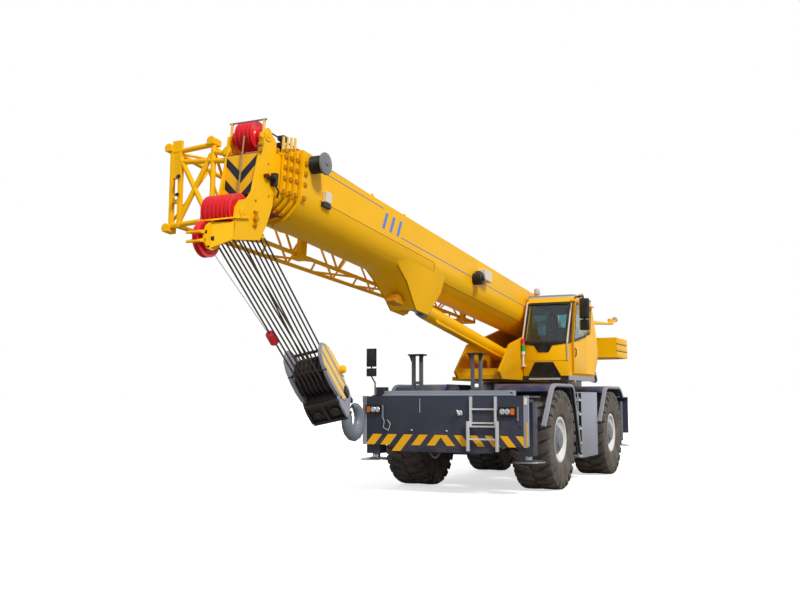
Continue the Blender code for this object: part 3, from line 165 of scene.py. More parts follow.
def paint(name, colour, roughness=0.35, metallic=0.0, shade=0.82, dust=0.0, dust_height=None, coat=0.0,
          grain=30.0, depth=0.0015, dust_colour=(120, 108, 92), gloss=0.35):
    """Painted metal with slow changes of tone, fine orange peel and dust that settles low down."""
    material, shader, place = blank(name, roughness, metallic)
    links = material.node_tree.links
    clean = linear(*colour)
    dark = tuple(c * shade for c in clean[:3]) + (1.0,)
    tone = mixed(material, scaled(material, noise(material, place, 0.9), 0.0, 0.55), clean, dark)
    if dust:
        mask = scaled(material, noise(material, place, 3.5, 8.0, 0.42, 0.68), 0.0, dust)
        if dust_height:
            split = add(material, "ShaderNodeSeparateXYZ")
            links.new(place, split.inputs["Vector"])
            fall = add(material, "ShaderNodeMapRange", from_min=dust_height[0], from_max=dust_height[1],
                       to_min=1.0, to_max=0.0)
            links.new(split.outputs["Z"], fall.inputs["Value"])
            both = add(material, "ShaderNodeMath", operation="MULTIPLY")
            links.new(mask, both.inputs[0])
            links.new(fall.outputs["Result"], both.inputs[1])
            mask = both.outputs["Value"]
        tone = mixed(material, mask, tone, linear(*dust_colour))
    links.new(tone, shader.inputs["Base Color"])
    shader.inputs["Specular IOR Level"].default_value = gloss
    peel = noise(material, place, grain, 2.0, 0.3, 0.7)
    links.new(scaled(material, peel, roughness - 0.04, roughness + 0.06), shader.inputs["Roughness"])
    bumped(material, shader, peel, 0.12, depth)
    if coat:
        shader.inputs["Coat Weight"].default_value = coat
        shader.inputs["Coat Roughness"].default_value = 0.12
    return material


YELLOW = paint("yellow_enamel", (255, 192, 2), 0.4, shade=0.92, gloss=0.14)
SLATE = paint("slate_enamel", (52, 56, 74), 0.38, shade=0.8, dust=0.35,
              dust_height=(0.4, 1.7))
GREY_BLUE = paint("fender_grey", (128, 133, 148), 0.42, shade=0.88, dust=0.3,
                  dust_height=(0.3, 1.6))
DARK_BLUE = paint("deck_blue", (38, 52, 88), 0.42, shade=0.75, dust=0.5,
                  dust_height=(0.0, 9.0), dust_colour=(140, 118, 106))
RED = paint("sheave_red", (230, 40, 50), 0.36, shade=0.85, coat=0.2)
RIM_WHITE = paint("rim_white", (226, 227, 224), 0.4, shade=0.92, dust=0.3,
                  dust_height=(-1.0, 1.5))
HUB_GREY = paint("hub_grey", (120, 124, 132), 0.45, dust=0.4, dust_height=(-1.0, 1.5))
STEEL = paint("bare_steel", (176, 178, 184), 0.32, 0.9, shade=0.85, grain=90.0)
CHROME = paint("rod_chrome", (214, 216, 220), 0.14, 1.0, shade=0.95, grain=140.0, depth=0.0002)
CAST_GREY = paint("hook_grey", (126, 132, 146), 0.48, 0.3, shade=0.8, grain=22.0, depth=0.004)
BLACK = paint("black_parts", (24, 24, 27), 0.45, shade=0.7, dust=0.15)
SILVER = paint("silver_paint", (206, 208, 212), 0.36, 0.25, shade=0.9)
ROPE = paint("wire_rope", (92, 84, 74), 0.5, 0.6, shade=0.6, grain=220.0)
GREEN = paint("signal_green", (20, 170, 80), 0.3)
AMBER = paint("signal_amber", (236, 120, 24), 0.25)
WHITE = paint("signal_white", (238, 238, 234), 0.3)
LENS = paint("lamp_lens", (206, 212, 220), 0.1, 0.3)
STRIPE_YELLOW = paint("stripe_yellow", (252, 186, 14), 0.5, shade=0.88)
STRIPE_BLUE = paint("stripe_blue", (86, 132, 214), 0.4)
LINE_BLUE = paint("line_blue", (116, 128, 156), 0.4)
# maroon; also used for the painted shade round the boom head's warning panel
MAROON = paint("maroon", (120, 18, 22), 0.45)
# a darker copy of the yellow enamel for the slewing platform: painted shade, as the platform's real paint is
# the same yellow
SHADED_PLATFORM_YELLOW = paint("platform_painted_shade", (228, 164, 4), 0.42, shade=0.9, gloss=0.14)
# a brown line for the shadow under the edge of the belly plate: painted shadow
SEAM_SHADOW = paint("seam_painted_shadow", (150, 98, 6), 0.5, shade=0.8)
# a darker copy of the yellow enamel: painted shade, on the cab's crease, the door gap and yellow blocks,
# studs, bosses and the rest pad
SHADED_YELLOW = paint("shaded_yellow", (206, 140, 4), 0.4, gloss=0.25)
# a paler copy of the yellow enamel: painted light, for yellow parts that stand in strong light
LIT_YELLOW = paint("lit_yellow", (246, 206, 104), 0.4, shade=0.9)
CREAM = paint("cream_trim", (226, 214, 196), 0.4, shade=0.92)
PALE_ROPE = paint("greased_rope", (172, 142, 96), 0.5, 0.3, shade=0.8, grain=200.0)
CHEEK_GREY = paint("cheek_grey", (150, 152, 168), 0.42, shade=0.85)
BLOCK_BROWN = paint("block_brown", (54, 49, 46), 0.5, shade=0.8)
LEDGE_GREY = paint("ledge_grey", (150, 158, 174), 0.42, shade=0.85, dust=0.35,
                   dust_height=(0.3, 2.4), dust_colour=(168, 150, 140))
POST_GREY = paint("post_grey", (86, 90, 100), 0.42, shade=0.85)
PANEL_BLACK = paint("panel_black", (16, 20, 36), 0.45, shade=0.8)
LINING = paint("cab_lining", (30, 34, 42), 0.6, shade=0.8)
BEACON_LENS = paint("beacon_lens", (206, 186, 178), 0.2, coat=0.5)
PANEL_GREY = paint("panel_grey", (150, 155, 168), 0.4, shade=0.88, dust=0.3,
                   dust_height=(0.3, 1.6))
FENDER_EDGE = paint("fender_edge", (150, 153, 164), 0.4, shade=0.88, dust=0.2,
                    dust_height=(0.3, 1.6))


def rubber():
    """Dusty rubber: dark, with brown-grey dust in patches."""
    material, shader, place = blank("tyre_rubber", 0.8)
    links = material.node_tree.links
    dust = scaled(material, noise(material, place, 5.0, 8.0, 0.3, 0.7), 0.3, 1.0)
    tone = mixed(material, dust, linear(46, 42, 40), linear(104, 96, 90))
    links.new(tone, shader.inputs["Base Color"])
    grain = noise(material, place, 60.0, 6.0, 0.3, 0.7)
    links.new(scaled(material, grain, 0.7, 0.95), shader.inputs["Roughness"])
    bumped(material, shader, grain, 0.35, 0.004)
    return material


def glass():
    """Green-blue tinted cab glass."""
    material, shader, place = blank("cab_glass", 0.03)
    shader.inputs["Transmission Weight"].default_value = 1.0
    shader.inputs["IOR"].default_value = 1.05
    streaks = noise(material, place, 1.2, 2.0, 0.3, 0.7)
    tone = mixed(material, streaks, linear(150, 190, 196), linear(120, 164, 176))
    material.node_tree.links.new(tone, shader.inputs["Base Color"])
    shader.inputs["Coat Weight"].default_value = 1.0
    shader.inputs["Coat Roughness"].default_value = 0.02
    return material


RUBBER = rubber()
GLASS = glass()


# Shapes

def across(side, near, far):
    """The span from near to far on one side of the middle."""
    return sorted((side * near, side * far))


def around(middle, half):
    """The span of a half width round a middle."""
    return (middle - half, middle + half)


def loop_mesh(rings, capped=True):
    """Join rings of equal length into one skin; the ends are capped or joined to each other."""
    shape = bmesh.new()
    rows = [[shape.verts.new(point) for point in ring] for ring in rings]
    count = len(rows[0])
    pairs = list(zip(rows, rows[1:]))
    if not capped:
        pairs.append((rows[-1], rows[0]))
    for first, second in pairs:
        for i in range(count):
            j = (i + 1) % count
            shape.faces.new((first[i], first[j], second[j], second[i]))
    if capped:
        shape.faces.new(rows[0])
        shape.faces.new(rows[-1])
    bmesh.ops.recalc_face_normals(shape, faces=shape.faces)
    return shape


def spot(axis, along, point):
    """A point of a flat outline on a plane across X (y, z), Y (x, z) or Z (x, y)."""
    if axis == "X":
        return (along, point[0], point[1])
    if axis == "Y":
        return (point[0], along, point[1])
    return (point[0], point[1], along)


def prism(outline, axis, low, high):
    return loop_mesh([[spot(axis, along, point) for point in outline] for along in (low, high)])


def box(x, y, z):
    return prism([(x[0], z[0]), (x[1], z[0]), (x[1], z[1]), (x[0], z[1])], "Y", min(y), max(y))


def border(outer, inner, axis, low, high):
    """A flat frame between two outlines with equally many points."""
    loops = ((outer, low), (outer, high), (inner, high), (inner, low))
    return loop_mesh([[spot(axis, along, point) for point in outline] for outline, along in loops], False)


def circle(radius, sides=32, centre=(0.0, 0.0)):
    points = []
    for k in range(sides):
        angle = 2 * math.pi * k / sides
        points.append((centre[0] + radius * math.cos(angle), centre[1] + radius * math.sin(angle)))
    return points


def turned(profile, steps=48, axis="Y", centre=(0.0, 0.0, 0.0)):
    """Turn a closed outline of (along, radius) points, all off the axis, into a ring."""
    rings = []
    for k in range(steps):
        angle = 2 * math.pi * k / steps
        ring = []
        for along, radius in profile:
            point = spot(axis, along, (radius * math.cos(angle), radius * math.sin(angle)))
            ring.append(Vector(point) + Vector(centre))
        rings.append(ring)
    return loop_mesh(rings, False)


def disc(axis, centre, radius, low, high, edge=0.0, sides=32):
    """A round bar or button along an axis, its rims chamfered by edge."""
    rings = []
    for along, size in ((low, radius - edge), (low + edge, radius), (high - edge, radius),
                        (high, radius - edge)):
        rings.append([spot(axis, along, point) for point in circle(size, sides, centre)])
    return loop_mesh(rings if edge else rings[1:3])


def pipe(points, radius, sides=10):
    """A round bar along a bent line, mitred at each corner."""
    points = [Vector(point) for point in points]
    rings = []
    side = None
    for k, point in enumerate(points):
        before = (point - points[k - 1]).normalized() if k else None
        after = (points[k + 1] - point).normalized() if k + 1 < len(points) else None
        along = (before + after).normalized() if before and after else (before or after)
        heading = before or after
        side = side or along.orthogonal().normalized()
        side = (side - heading * side.dot(heading)).normalized()
        up = heading.cross(side)
        ring = []
        for i in range(sides):
            angle = 2 * math.pi * i / sides
            offset = (side * math.cos(angle) + up * math.sin(angle)) * radius
            ring.append(point + offset - heading * (offset.dot(along) / heading.dot(along)))
        rings.append(ring)
        if after:
            side = (side - after * side.dot(after)).normalized()
    return loop_mesh(rings)


def rounded(points, radius, steps=4):
    """The outline with each corner turned into a short curve."""
    out = []
    for k, corner in enumerate(points):
        corner = Vector(corner)
        before = Vector(points[k - 1]) - corner
        after = Vector(points[(k + 1) % len(points)]) - corner
        start = corner + before.normalized() * min(radius, before.length * 0.45)
        end = corner + after.normalized() * min(radius, after.length * 0.45)
        for i in range(steps + 1):
            share = i / steps
            point = start * (1 - share) ** 2 + corner * 2 * share * (1 - share) + end * share ** 2
            out.append(tuple(point))
    return out


def sheet(first, second, radius):
    """A rectangle with rounded corners over two spans."""
    corners = [(first[0], second[0]), (first[1], second[0]), (first[1], second[1]), (first[0], second[1])]
    return rounded(corners, radius)


def inset(outline, distance):
    """The same outline moved inwards, or outwards when the distance is negative."""
    area = sum(a[0] * b[1] - b[0] * a[1] for a, b in zip(outline, outline[1:] + outline[:1]))
    sign = 1 if area > 0 else -1
    moved = []
    for k, here in enumerate(outline):
        before = Vector(here) - Vector(outline[k - 1])
        after = Vector(outline[(k + 1) % len(outline)]) - Vector(here)
        first, second = before.normalized(), after.normalized()
        normal = Vector((-first.y - second.y, first.x + second.x)).normalized() * sign
        reach = distance / max(0.3, normal.dot(Vector((-first.y, first.x))) * sign)
        moved.append((here[0] + normal.x * reach, here[1] + normal.y * reach))
    return moved


# Pieces
SMOOTH = math.radians(32)


def soften(made, width):
    """Round the sharp edges of an object by a narrow bevel."""
    step = made.modifiers.new("Edges", "BEVEL")
    step.width = width
    step.segments = 2
    step.limit_method = "ANGLE"
    step.angle_limit = SMOOTH
    step.harden_normals = True


def piece(name, shapes, material, body, place=ROW, replaces=(), bevel=0.0):
    """One object made of the shapes, riding on a body of the frame."""
    joined = bmesh.new()
    for shape in shapes:
        part = bpy.data.meshes.new(name)
        shape.to_mesh(part)
        shape.free()
        joined.from_mesh(part)
        bpy.data.meshes.remove(part)
    mesh = bpy.data.meshes.new(name)
    joined.to_mesh(mesh)
    joined.free()
    mesh.materials.append(material)
    mesh.shade_smooth()
    mesh.set_sharp_from_angle(angle=SMOOTH)
    made = bpy.data.objects.new(name, mesh)
    bpy.context.scene.collection.objects.link(made)
    made.matrix_world = place
    if bevel:
        soften(made, bevel)
    if body:
        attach(made, body)
    if replaces:
        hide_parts(*replaces)
    return made


# start of the nodes' names, material, bevel
KEPT = [
    ("chassis_frame", SLATE, 0.008), ("front_outrigger_box", SLATE, 0.006),
    ("rear_outrigger_box", SLATE, 0.006), ("fuel_tank", PANEL_GREY, 0.008),
    ("hydraulic_tank", PANEL_GREY, 0.008), ("engine_hood", SLATE, 0.012), ("engine_block", BLACK, 0.01),
    ("front_axle", SLATE, 0.008), ("rear_axle", SLATE, 0.008), ("front_ladder", SILVER, 0.004),
    ("boom_rests", SLATE, 0.004), ("carrier_mirror", BLACK, 0.01), ("knuckle", SLATE, 0.008),
    # the slewing platform takes the darker platform yellow: painted shade
    ("outrigger_beam", SLATE, 0.006), ("jack", STEEL, 0.004), ("slewing_platform", SHADED_PLATFORM_YELLOW, 0.008),
    ("counterweight", YELLOW, 0.012), ("cab_shell", YELLOW, 0.016), ("cab_door", YELLOW, 0.01),
    ("operator_seat", BLACK, 0.03), ("luff_cylinder_barrel", YELLOW, 0.0),
    ("luff_cylinder_rod", CHROME, 0.0), ("boom", YELLOW, 0.0), ("cable_reel", BLACK, 0.006),
    ("main_winch", STEEL, 0.004), ("auxiliary_winch", STEEL, 0.004), ("front_deck", GREY_BLUE, 0.0),
    ("rear_deck", GREY_BLUE, 0.0), ("headlamps", BLACK, 0.0), ("stowed_jib", YELLOW, 0.0),
    ("upper_sheaves", RED, 0.0), ("lower_sheaves", RED, 0.0), ("nose_sheave", RED, 0.0),
    ("hook", CAST_GREY, 0.0), ("hook_block", BLACK, 0.0), ("rim", RIM_WHITE, 0.0), ("tyre", RUBBER, 0.0),
]
WELD_REACH = 2e-5
FLAT_ANGLE = math.radians(0.5)
for name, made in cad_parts.items():
    matching = [row for row in KEPT if name.startswith(row[0])]
    start, material, bevel = max(matching, key=lambda row: len(row[0]))
    made.data.materials.clear()
    made.data.materials.append(material)
    made.data.shade_smooth()
    made.data.set_sharp_from_angle(angle=SMOOTH)
    weld = made.modifiers.new("Joined corners", "WELD")
    weld.merge_threshold = WELD_REACH
    if bevel:
        flat = made.modifiers.new("Flat faces", "DECIMATE")
        flat.decimate_type = "DISSOLVE"
        flat.angle_limit = FLAT_ANGLE
        soften(made, bevel)
    else:
        made.modifiers.new("Sharp edges", "EDGE_SPLIT").split_angle = SMOOTH


# Wheels
# corner, distance from the front axle, side
CORNERS = [
    ("front_left", 0.0, 1), ("front_right", 0.0, -1),
    ("rear_left", -WHEELBASE, 1), ("rear_right", -WHEELBASE, -1),
]
# across the tyre from its middle, radius
CARCASS = [
    (0.29, 0.389), (0.318, 0.44), (0.335, 0.47), (0.343, 0.475), (0.350, 0.50), (0.362, 0.56), (0.370, 0.60),
    (0.374, 0.66), (0.374, 0.71), (0.366, 0.79), (0.348, 0.845), (0.30, 0.872), (0.0, 0.884),
]
LUGS = 25
# across and radius of a lug's top and of its foot, sweep and half width as shares of the pitch
LUG_STATIONS = [
    (0.015, 0.930, 0.015, 0.87, 0.00, 0.25), (0.19, 0.936, 0.19, 0.865, 0.22, 0.28),
    (0.325, 0.932, 0.31, 0.85, 0.46, 0.32), (0.366, 0.912, 0.32, 0.84, 0.54, 0.33),
    (0.378, 0.87, 0.33, 0.82, 0.58, 0.32), (0.382, 0.79, 0.35, 0.77, 0.60, 0.27),
]
# along the axle from the wheel's middle, radius
RIM = [
    (0.296, 0.372), (0.312, 0.375), (0.322, 0.39), (0.324, 0.41), (0.318, 0.428), (0.300, 0.432),
    (0.290, 0.42), (0.284, 0.390), (-0.284, 0.385), (-0.290, 0.42), (-0.318, 0.428), (-0.318, 0.375),
    (0.13, 0.34), (0.19, 0.29), (0.215, 0.275), (0.235, 0.28), (0.250, 0.305), (0.258, 0.33), (0.28, 0.352),
]
HUB = [
    (0.18, 0.14), (0.18, 0.276), (0.225, 0.278), (0.232, 0.255), (0.275, 0.245), (0.290, 0.225),
    (0.295, 0.18), (0.325, 0.17), (0.335, 0.15), (0.338, 0.11), (0.338, 0.02), (0.30, 0.02),
]
# how many, radius of the ring, size of a nut, from and to along the axle
NUT_RINGS = [(20, 0.262, 0.013, 0.22, 0.252), (10, 0.195, 0.012, 0.275, 0.305)]


def lug(index, side):
    """One bar of the tread, from the middle of the tyre over its shoulder."""
    pitch = 2 * math.pi / LUGS
    start = index + (0.5 if side < 0 else 0.0)
    rings = []
    for top_y, top, foot_y, foot, sweep, half in LUG_STATIONS:
        ring = []
        for y, radius, share in ((foot_y, foot, -1.0), (top_y, top, -0.84), (top_y, top, 0.84),
                                 (foot_y, foot, 1.0)):
            angle = (start + sweep + share * half) * pitch
            ring.append((radius * math.cos(angle), side * y, radius * math.sin(angle)))
        rings.append(ring)
    return loop_mesh(rings)


def ring_of(count, radius, size, low, high, sides=6):
    """Nuts or bolts in a ring round the axle."""
    made = []
    for k in range(count):
        angle = 2 * math.pi * (k + 0.5) / count
        place = (radius * math.cos(angle), radius * math.sin(angle))
        made.append(disc("Y", place, size, *sorted((low, high)), sides=sides))
    return made


for corner, axle_x, side in CORNERS:
    middle = CARRIER @ Matrix.Translation((axle_x, side * TRACK_HALF, HUB_Z))
    body = f"wheel_{corner}"
    both_walls = CARCASS + [(-y, radius) for y, radius in reversed(CARCASS[:-1])]
    tread = [turned(both_walls, 100)]
    tread += [lug(k, 1) for k in range(LUGS)] + [lug(k, -1) for k in range(LUGS)]
    piece(f"tyre_{corner}_tread", tread, RUBBER, body, middle, [f"tyre_{corner}"])
    dish = [(side * y, radius) for y, radius in RIM]
    piece(f"rim_{corner}_dish", [turned(dish, 64)], RIM_WHITE, body, middle, [f"rim_{corner}"])
    hub = [turned([(side * y, radius) for y, radius in HUB], 48)]
    for count, radius, size, low, high in NUT_RINGS:
        hub += ring_of(count, radius, size, side * low, side * high)
    piece(f"hub_{corner}", hub, HUB_GREY, body, middle)


# Decks and fenders
FENDER_Y = (0.50, 1.66)
FENDER_LIP = 0.085
FENDER_SHEET = 0.035
FENDER_BEND = 0.17
LINING_DEPTH = (-0.03, -0.012)
LINING_INSET = (0.03, 0.02)
DECK_TOP = 1.84
DECK_PLATE = 0.09
# name, axle, line of the fender from front to rear, deck span along X
DECKS = [
    ("front_deck", 0.0, [(1.10, 1.20), (0.50, 1.95), (-0.83, 1.95), (-1.34, 0.62)], (-1.10, 1.41)),
    ("rear_deck", -WHEELBASE, [(1.10, 1.20), (0.50, 1.95), (-0.83, 1.95), (-1.13, 1.7503)], (-1.90, 0.94)),
]


def bent(points, radius, steps=6):
    """An open line with its inner corners turned into short curves."""
    line = [Vector(points[0])]
    for before, corner, after in zip(points, points[1:], points[2:]):
        corner = Vector(corner)
        start = corner + (Vector(before) - corner).normalized() * radius
        end = corner + (Vector(after) - corner).normalized() * radius
        for i in range(steps + 1):
            share = i / steps
            line.append(start * (1 - share) ** 2 + corner * 2 * share * (1 - share) + end * share ** 2)
    return line + [Vector(points[-1])]


def band(line, low, high):
    """The outline of a sheet that follows a line, between two distances outside it."""
    inner, outer = [], []
    for k, point in enumerate(line):
        along = (line[min(k + 1, len(line) - 1)] - line[max(k - 1, 0)]).normalized()
        outside = Vector((-along.y, along.x)) * -1
        inner.append(tuple(point + outside * low))
        outer.append(tuple(point + outside * high))
    return inner + outer[::-1]


for name, axle_x, line, span in DECKS:
    curve = bent(line, FENDER_BEND)
    roof = curve[1:]
    sheets, lips, linings = [], [], []
    for side in (1, -1):
        inner, outer = side * FENDER_Y[0], side * FENDER_Y[1]
        edge = outer - side * FENDER_LIP
        sheets.append(prism(band(roof, 0.0, FENDER_SHEET), "Y", *sorted((inner, edge))))
        lips.append(prism(band(curve, LINING_DEPTH[1], FENDER_SHEET + 0.004), "Y", *sorted((edge, outer))))
        lining_y = sorted((edge + side * LINING_INSET[0], outer - side * LINING_INSET[1]))
        linings.append(prism(band(curve, *LINING_DEPTH), "Y", *lining_y))
        flange_y = sorted((inner - side * 0.03, inner + side * 0.02))
        flange_z = (DECK_TOP - DECK_PLATE, line[1][1] + FENDER_SHEET)
        sheets.append(box((line[2][0], line[1][0]), flange_y, flange_z))
    place = CARRIER @ Matrix.Translation((axle_x, 0.0, 0.0))
    piece(f"{name}_sheets", sheets, DARK_BLUE, "carrier", place, [name], bevel=0.004)
    piece(f"{name}_lips", lips, FENDER_EDGE, "carrier", place, bevel=0.006)
    piece(f"{name}_linings", linings, BLACK, "carrier", place)
    floor_plate = [box(span, (-FENDER_Y[0], FENDER_Y[0]), (DECK_TOP - DECK_PLATE, DECK_TOP))]
    piece(f"{name}_floor", floor_plate, DARK_BLUE, "carrier", place, bevel=0.004)


# Steps beside the tanks: a black well behind silver treads
TANK_FRONT = -1.60
STEP_Y = (1.28, 1.60)
STEP_FRONT = -1.43
STEP_Z = (0.52, 1.82)
TREAD_THICK = 0.036
# low edges of the treads
STEP_TREADS = [0.53, 0.79, 1.08, 1.37, 1.66]
wells, treads = [], []
for side in (1, -1):
    wells.append(box((TANK_FRONT, STEP_FRONT - 0.02), across(side, STEP_Y[0] - 0.02, STEP_Y[0]), STEP_Z))
    wells.append(box((TANK_FRONT, TANK_FRONT + 0.012), across(side, STEP_Y[0], STEP_Y[1] - 0.003), STEP_Z))
    tread_y = across(side, STEP_Y[0] + 0.01, STEP_Y[1] + 0.006)
    treads += [box((TANK_FRONT, STEP_FRONT + 0.006), tread_y, (z - 0.004, z + TREAD_THICK))
               for z in STEP_TREADS]
piece("step_wells", wells, BLACK, "carrier", CARRIER)
piece("step_treads", treads, SILVER, "carrier", CARRIER, bevel=0.004)


# Front of the carrier
STRIPE_BAND = (0.87, 1.06)
STRIPE_LEAN = 0.82
STRIPE_LIMIT = 1.585
SKIN = 0.002             # thickness of paint and plates
# middle of a stripe's top, its width, its low edge
STRIPES = [
    (-1.291, 0.185, 0.87), (-0.986, 0.185, 0.87), (-0.668, 0.175, 0.76), (-0.367, 0.17, 0.87),
    (0.300, 0.155, 0.87), (0.587, 0.14, 0.87), (0.870, 0.13, 0.87), (1.153, 0.14, 0.87),
    (1.433, 0.13, 0.87),
]
# right half of the arrow in the middle, from its own middle; y, z
CHEVRON = [(0.0, 1.06), (0.115, 1.06), (0.275, 0.87), (0.115, 0.87), (0.0, 1.02)]
CHEVRON_Y = -0.028

stripes = []
for middle, width, low in STRIPES:
    side = 1 if middle > 0 else -1
    lean = side * STRIPE_LEAN * (STRIPE_BAND[1] - low)
    outline = [(middle - width / 2, STRIPE_BAND[1]), (middle + width / 2, STRIPE_BAND[1]),
               (min(middle + width / 2 + lean, STRIPE_LIMIT), low), (middle - width / 2 + lean, low)]
    stripes.append(prism(outline, "X", FRONT_FACE, FRONT_FACE + SKIN))
for side in (1, -1):
    outline = [(CHEVRON_Y + side * y, z) for y, z in CHEVRON]
    stripes.append(prism(outline, "X", FRONT_FACE, FRONT_FACE + SKIN))
piece("hazard_stripes", stripes, STRIPE_YELLOW, "carrier", CARRIER)

# hand, low edge of the lamps from the middle, side, height of their middle
LAMPS = [("left", 1.08, 1, 1.48), ("right", 1.21, -1, 1.51)]
LAMP_HALF = 0.08
LAMP_WIDTH = 0.31
LENS_SHARES = (0.20, 0.50)
MARKER_SHARES = (0.70, 0.93)
MARKER_HALF = 0.055
for hand, start, side, z in LAMPS:
    span = across(side, start, start + LAMP_WIDTH)
    outline = sheet(span, around(z, LAMP_HALF), 0.02)
    housing = [prism(outline, "X", FRONT_FACE, FRONT_FACE + 0.035)]
    housing.append(border(outline, inset(outline, 0.012), "X", FRONT_FACE + 0.03, FRONT_FACE + 0.052))
    piece(f"lamp_housing_{hand}", housing, BLACK, "carrier", CARRIER, [f"headlamps_{hand}"], bevel=0.003)
    lens_x = (FRONT_FACE + 0.03, FRONT_FACE + 0.05)
    lenses = [disc("X", (side * (start + share * LAMP_WIDTH), z), 0.052, *lens_x, 0.012)
              for share in LENS_SHARES]
    piece(f"lamp_lenses_{hand}", lenses, LENS, "carrier", CARRIER)
    near, far = (side * (start + share * LAMP_WIDTH) for share in MARKER_SHARES)
    marker = sheet((near, far), around(z, MARKER_HALF), 0.015)
    piece(f"lamp_marker_{hand}", [prism(marker, "X", *lens_x)], AMBER, "carrier", CARRIER, bevel=0.005)
    arm_y = start + LAMP_WIDTH + 0.03 if side > 0 else -(start - 0.03)
    bracket = [box((FRONT_FACE, FRONT_FACE + 0.03), around(arm_y, 0.015), (z - 0.16, z + LAMP_HALF))]
    piece(f"lamp_bracket_{hand}", bracket, GREY_BLUE, "carrier", CARRIER, bevel=0.004)


# ledge over the apron, corner flanges and the fittings on the front; the tops lie on the deck
ledge = [box((1.60, FRONT_FACE - 0.004), (-1.16, 1.28), (APRON_TOP + 0.002, APRON_TOP + 0.095)),
         box((1.90, FRONT_FACE + 0.006), (-1.20, 1.36), (APRON_TOP + 0.002, APRON_TOP + 0.03))]
piece("front_ledge", ledge, LEDGE_GREY, "carrier", CARRIER, bevel=0.01)
# the corner flanges belong to the slate apron; their light grey is painted light for the strong light on
# their sides
CORNER_X = (FRONT_FACE - 0.05, FRONT_FACE + 0.004)
CORNER_Z = (0.88, APRON_TOP + 0.004)
corners = [box(CORNER_X, across(side, APRON_HALF - 0.085, APRON_HALF + 0.004), CORNER_Z) for side in (1, -1)]
piece("front_corners_painted_light", corners, LEDGE_GREY, "carrier", CARRIER, bevel=0.006)
strip = box((FRONT_FACE + 0.004, FRONT_FACE + 0.006), (APRON_HALF - 0.03, APRON_HALF - 0.005), (0.90, 1.30))
piece("corner_strip", [strip], STRIPE_YELLOW, "carrier", CARRIER)
plates = [box((FRONT_FACE + 0.004, FRONT_FACE + 0.010), (1.53, 1.585), (1.60, 1.72))]
piece("corner_reflector", plates, WHITE, "carrier", CARRIER, bevel=0.002)

# bent lines on the apron: place in front of it, y and z
EYE_LINE = [(0.02, 0.30, 1.45), (0.10, 0.33, 1.49), (0.10, 0.37, 1.43), (0.02, 0.39, 1.42)]
SHORT_CHAIN = [(0.012, -0.433, 1.70), (0.012, -0.433, 1.45)]
LONG_CHAIN = [(0.012, -1.20, 1.40), (0.03, -1.14, 1.30), (0.03, -1.16, 1.18), (0.03, -1.06, 1.13),
              (0.02, -1.02, 1.24), (0.012, -1.08, 1.32)]
# middle, radius, chamfer and sides of the bosses
APRON_BOSSES = [((0.344, 1.452), 0.05, 0.006, 32), ((-0.593, 1.140), 0.016, 0.004, 12),
                ((0.093, 1.132), 0.016, 0.004, 12)]


def on_apron(line, radius, sides):
    """A pipe along a bent line in front of the apron."""
    return pipe([(FRONT_FACE + x, y, z) for x, y, z in line], radius, sides)


eye = [disc("X", place, radius, FRONT_FACE, FRONT_FACE + 0.03, edge, sides)
       for place, radius, edge, sides in APRON_BOSSES]
eye.append(on_apron(EYE_LINE, 0.014, 8))
piece("front_eye", eye, SILVER, "carrier", CARRIER, bevel=0.002)
# a flat black disc for the hole in the apron: painted shade inside the hole
hole = disc("X", (1.452, 1.220), 0.028, FRONT_FACE, FRONT_FACE + 0.004, 0.001, 20)
piece("front_hole_shade", [hole], BLACK, "carrier", CARRIER)
chain = [on_apron(SHORT_CHAIN, 0.006, 6), on_apron(LONG_CHAIN, 0.006, 6)]
piece("front_chain", chain, SILVER, "carrier", CARRIER)

# boom rests: two thin posts under a head plate with gussets
REST_X = 1.72
REST_Y = 0.58
REST_POST = 0.075
REST_TOP = 2.52
rests, heads = [], []
for side in (1, -1):
    middle = side * REST_Y
    for edge in (-1, 1):
        y = middle + edge * REST_POST
        rests.append(box(around(REST_X, 0.045), around(y, 0.024), (APRON_TOP + 0.09, REST_TOP - 0.03)))
        gusset = [(y - 0.02, REST_TOP - 0.14), (y + edge * 0.03, REST_TOP - 0.14),
                  (y + edge * 0.07, REST_TOP - 0.03), (y - 0.02, REST_TOP - 0.03)]
        heads.append(prism(gusset, "X", REST_X + 0.03, REST_X + 0.05))
        rests.append(box(around(REST_X, 0.09), around(y, 0.05), (APRON_TOP + 0.095, APRON_TOP + 0.115)))
    rests.append(box(around(REST_X, 0.03), around(middle, REST_POST), (APRON_TOP + 0.22, APRON_TOP + 0.27)))
    heads.append(box(around(REST_X, 0.10), around(middle, 0.15), (REST_TOP - 0.03, REST_TOP)))
rests.append(box((REST_X - 0.26, REST_X + 0.20), (-0.75, 0.75), (APRON_TOP + 0.091, APRON_TOP + 0.10)))
piece("rest_posts", rests, POST_GREY, "carrier", CARRIER, ["boom_rests"], bevel=0.005)
piece("rest_heads", heads, BLACK, "carrier", CARRIER, bevel=0.005)


# Cab
CAB_SIDE = 1.45
CAB_FRONT_Y = (0.515, 1.435)
BROW = 0.967             # length of the windscreen's plane
SKIRT = 0.674            # length of the panel below it
UPPER_FRONT = SUPER @ tilted((1.05, 0.0, 2.84), math.radians(24.44))
LOWER_FRONT = SUPER @ tilted((0.98, 0.0, 2.17), math.radians(-5.96))
DOOR_FACE = 1.501
WINDOW_CORNER = 0.05
PANE_LAP = 0.012


def window(name, outline, axis, face, width, body, place, depth=0.004, sink=0.02):
    """A black frame round an opening and a pane behind it."""
    opening = rounded(inset(outline, width), WINDOW_CORNER)
    edge = border(rounded(outline, WINDOW_CORNER), opening, axis, face, face + depth)
    piece(f"{name}_frame", [edge], BLACK, body, place)
    pane = rounded(inset(outline, width - PANE_LAP), WINDOW_CORNER)
    piece(f"{name}_pane", [prism(pane, axis, face - sink - 0.004, face - sink)], GLASS, body, place)


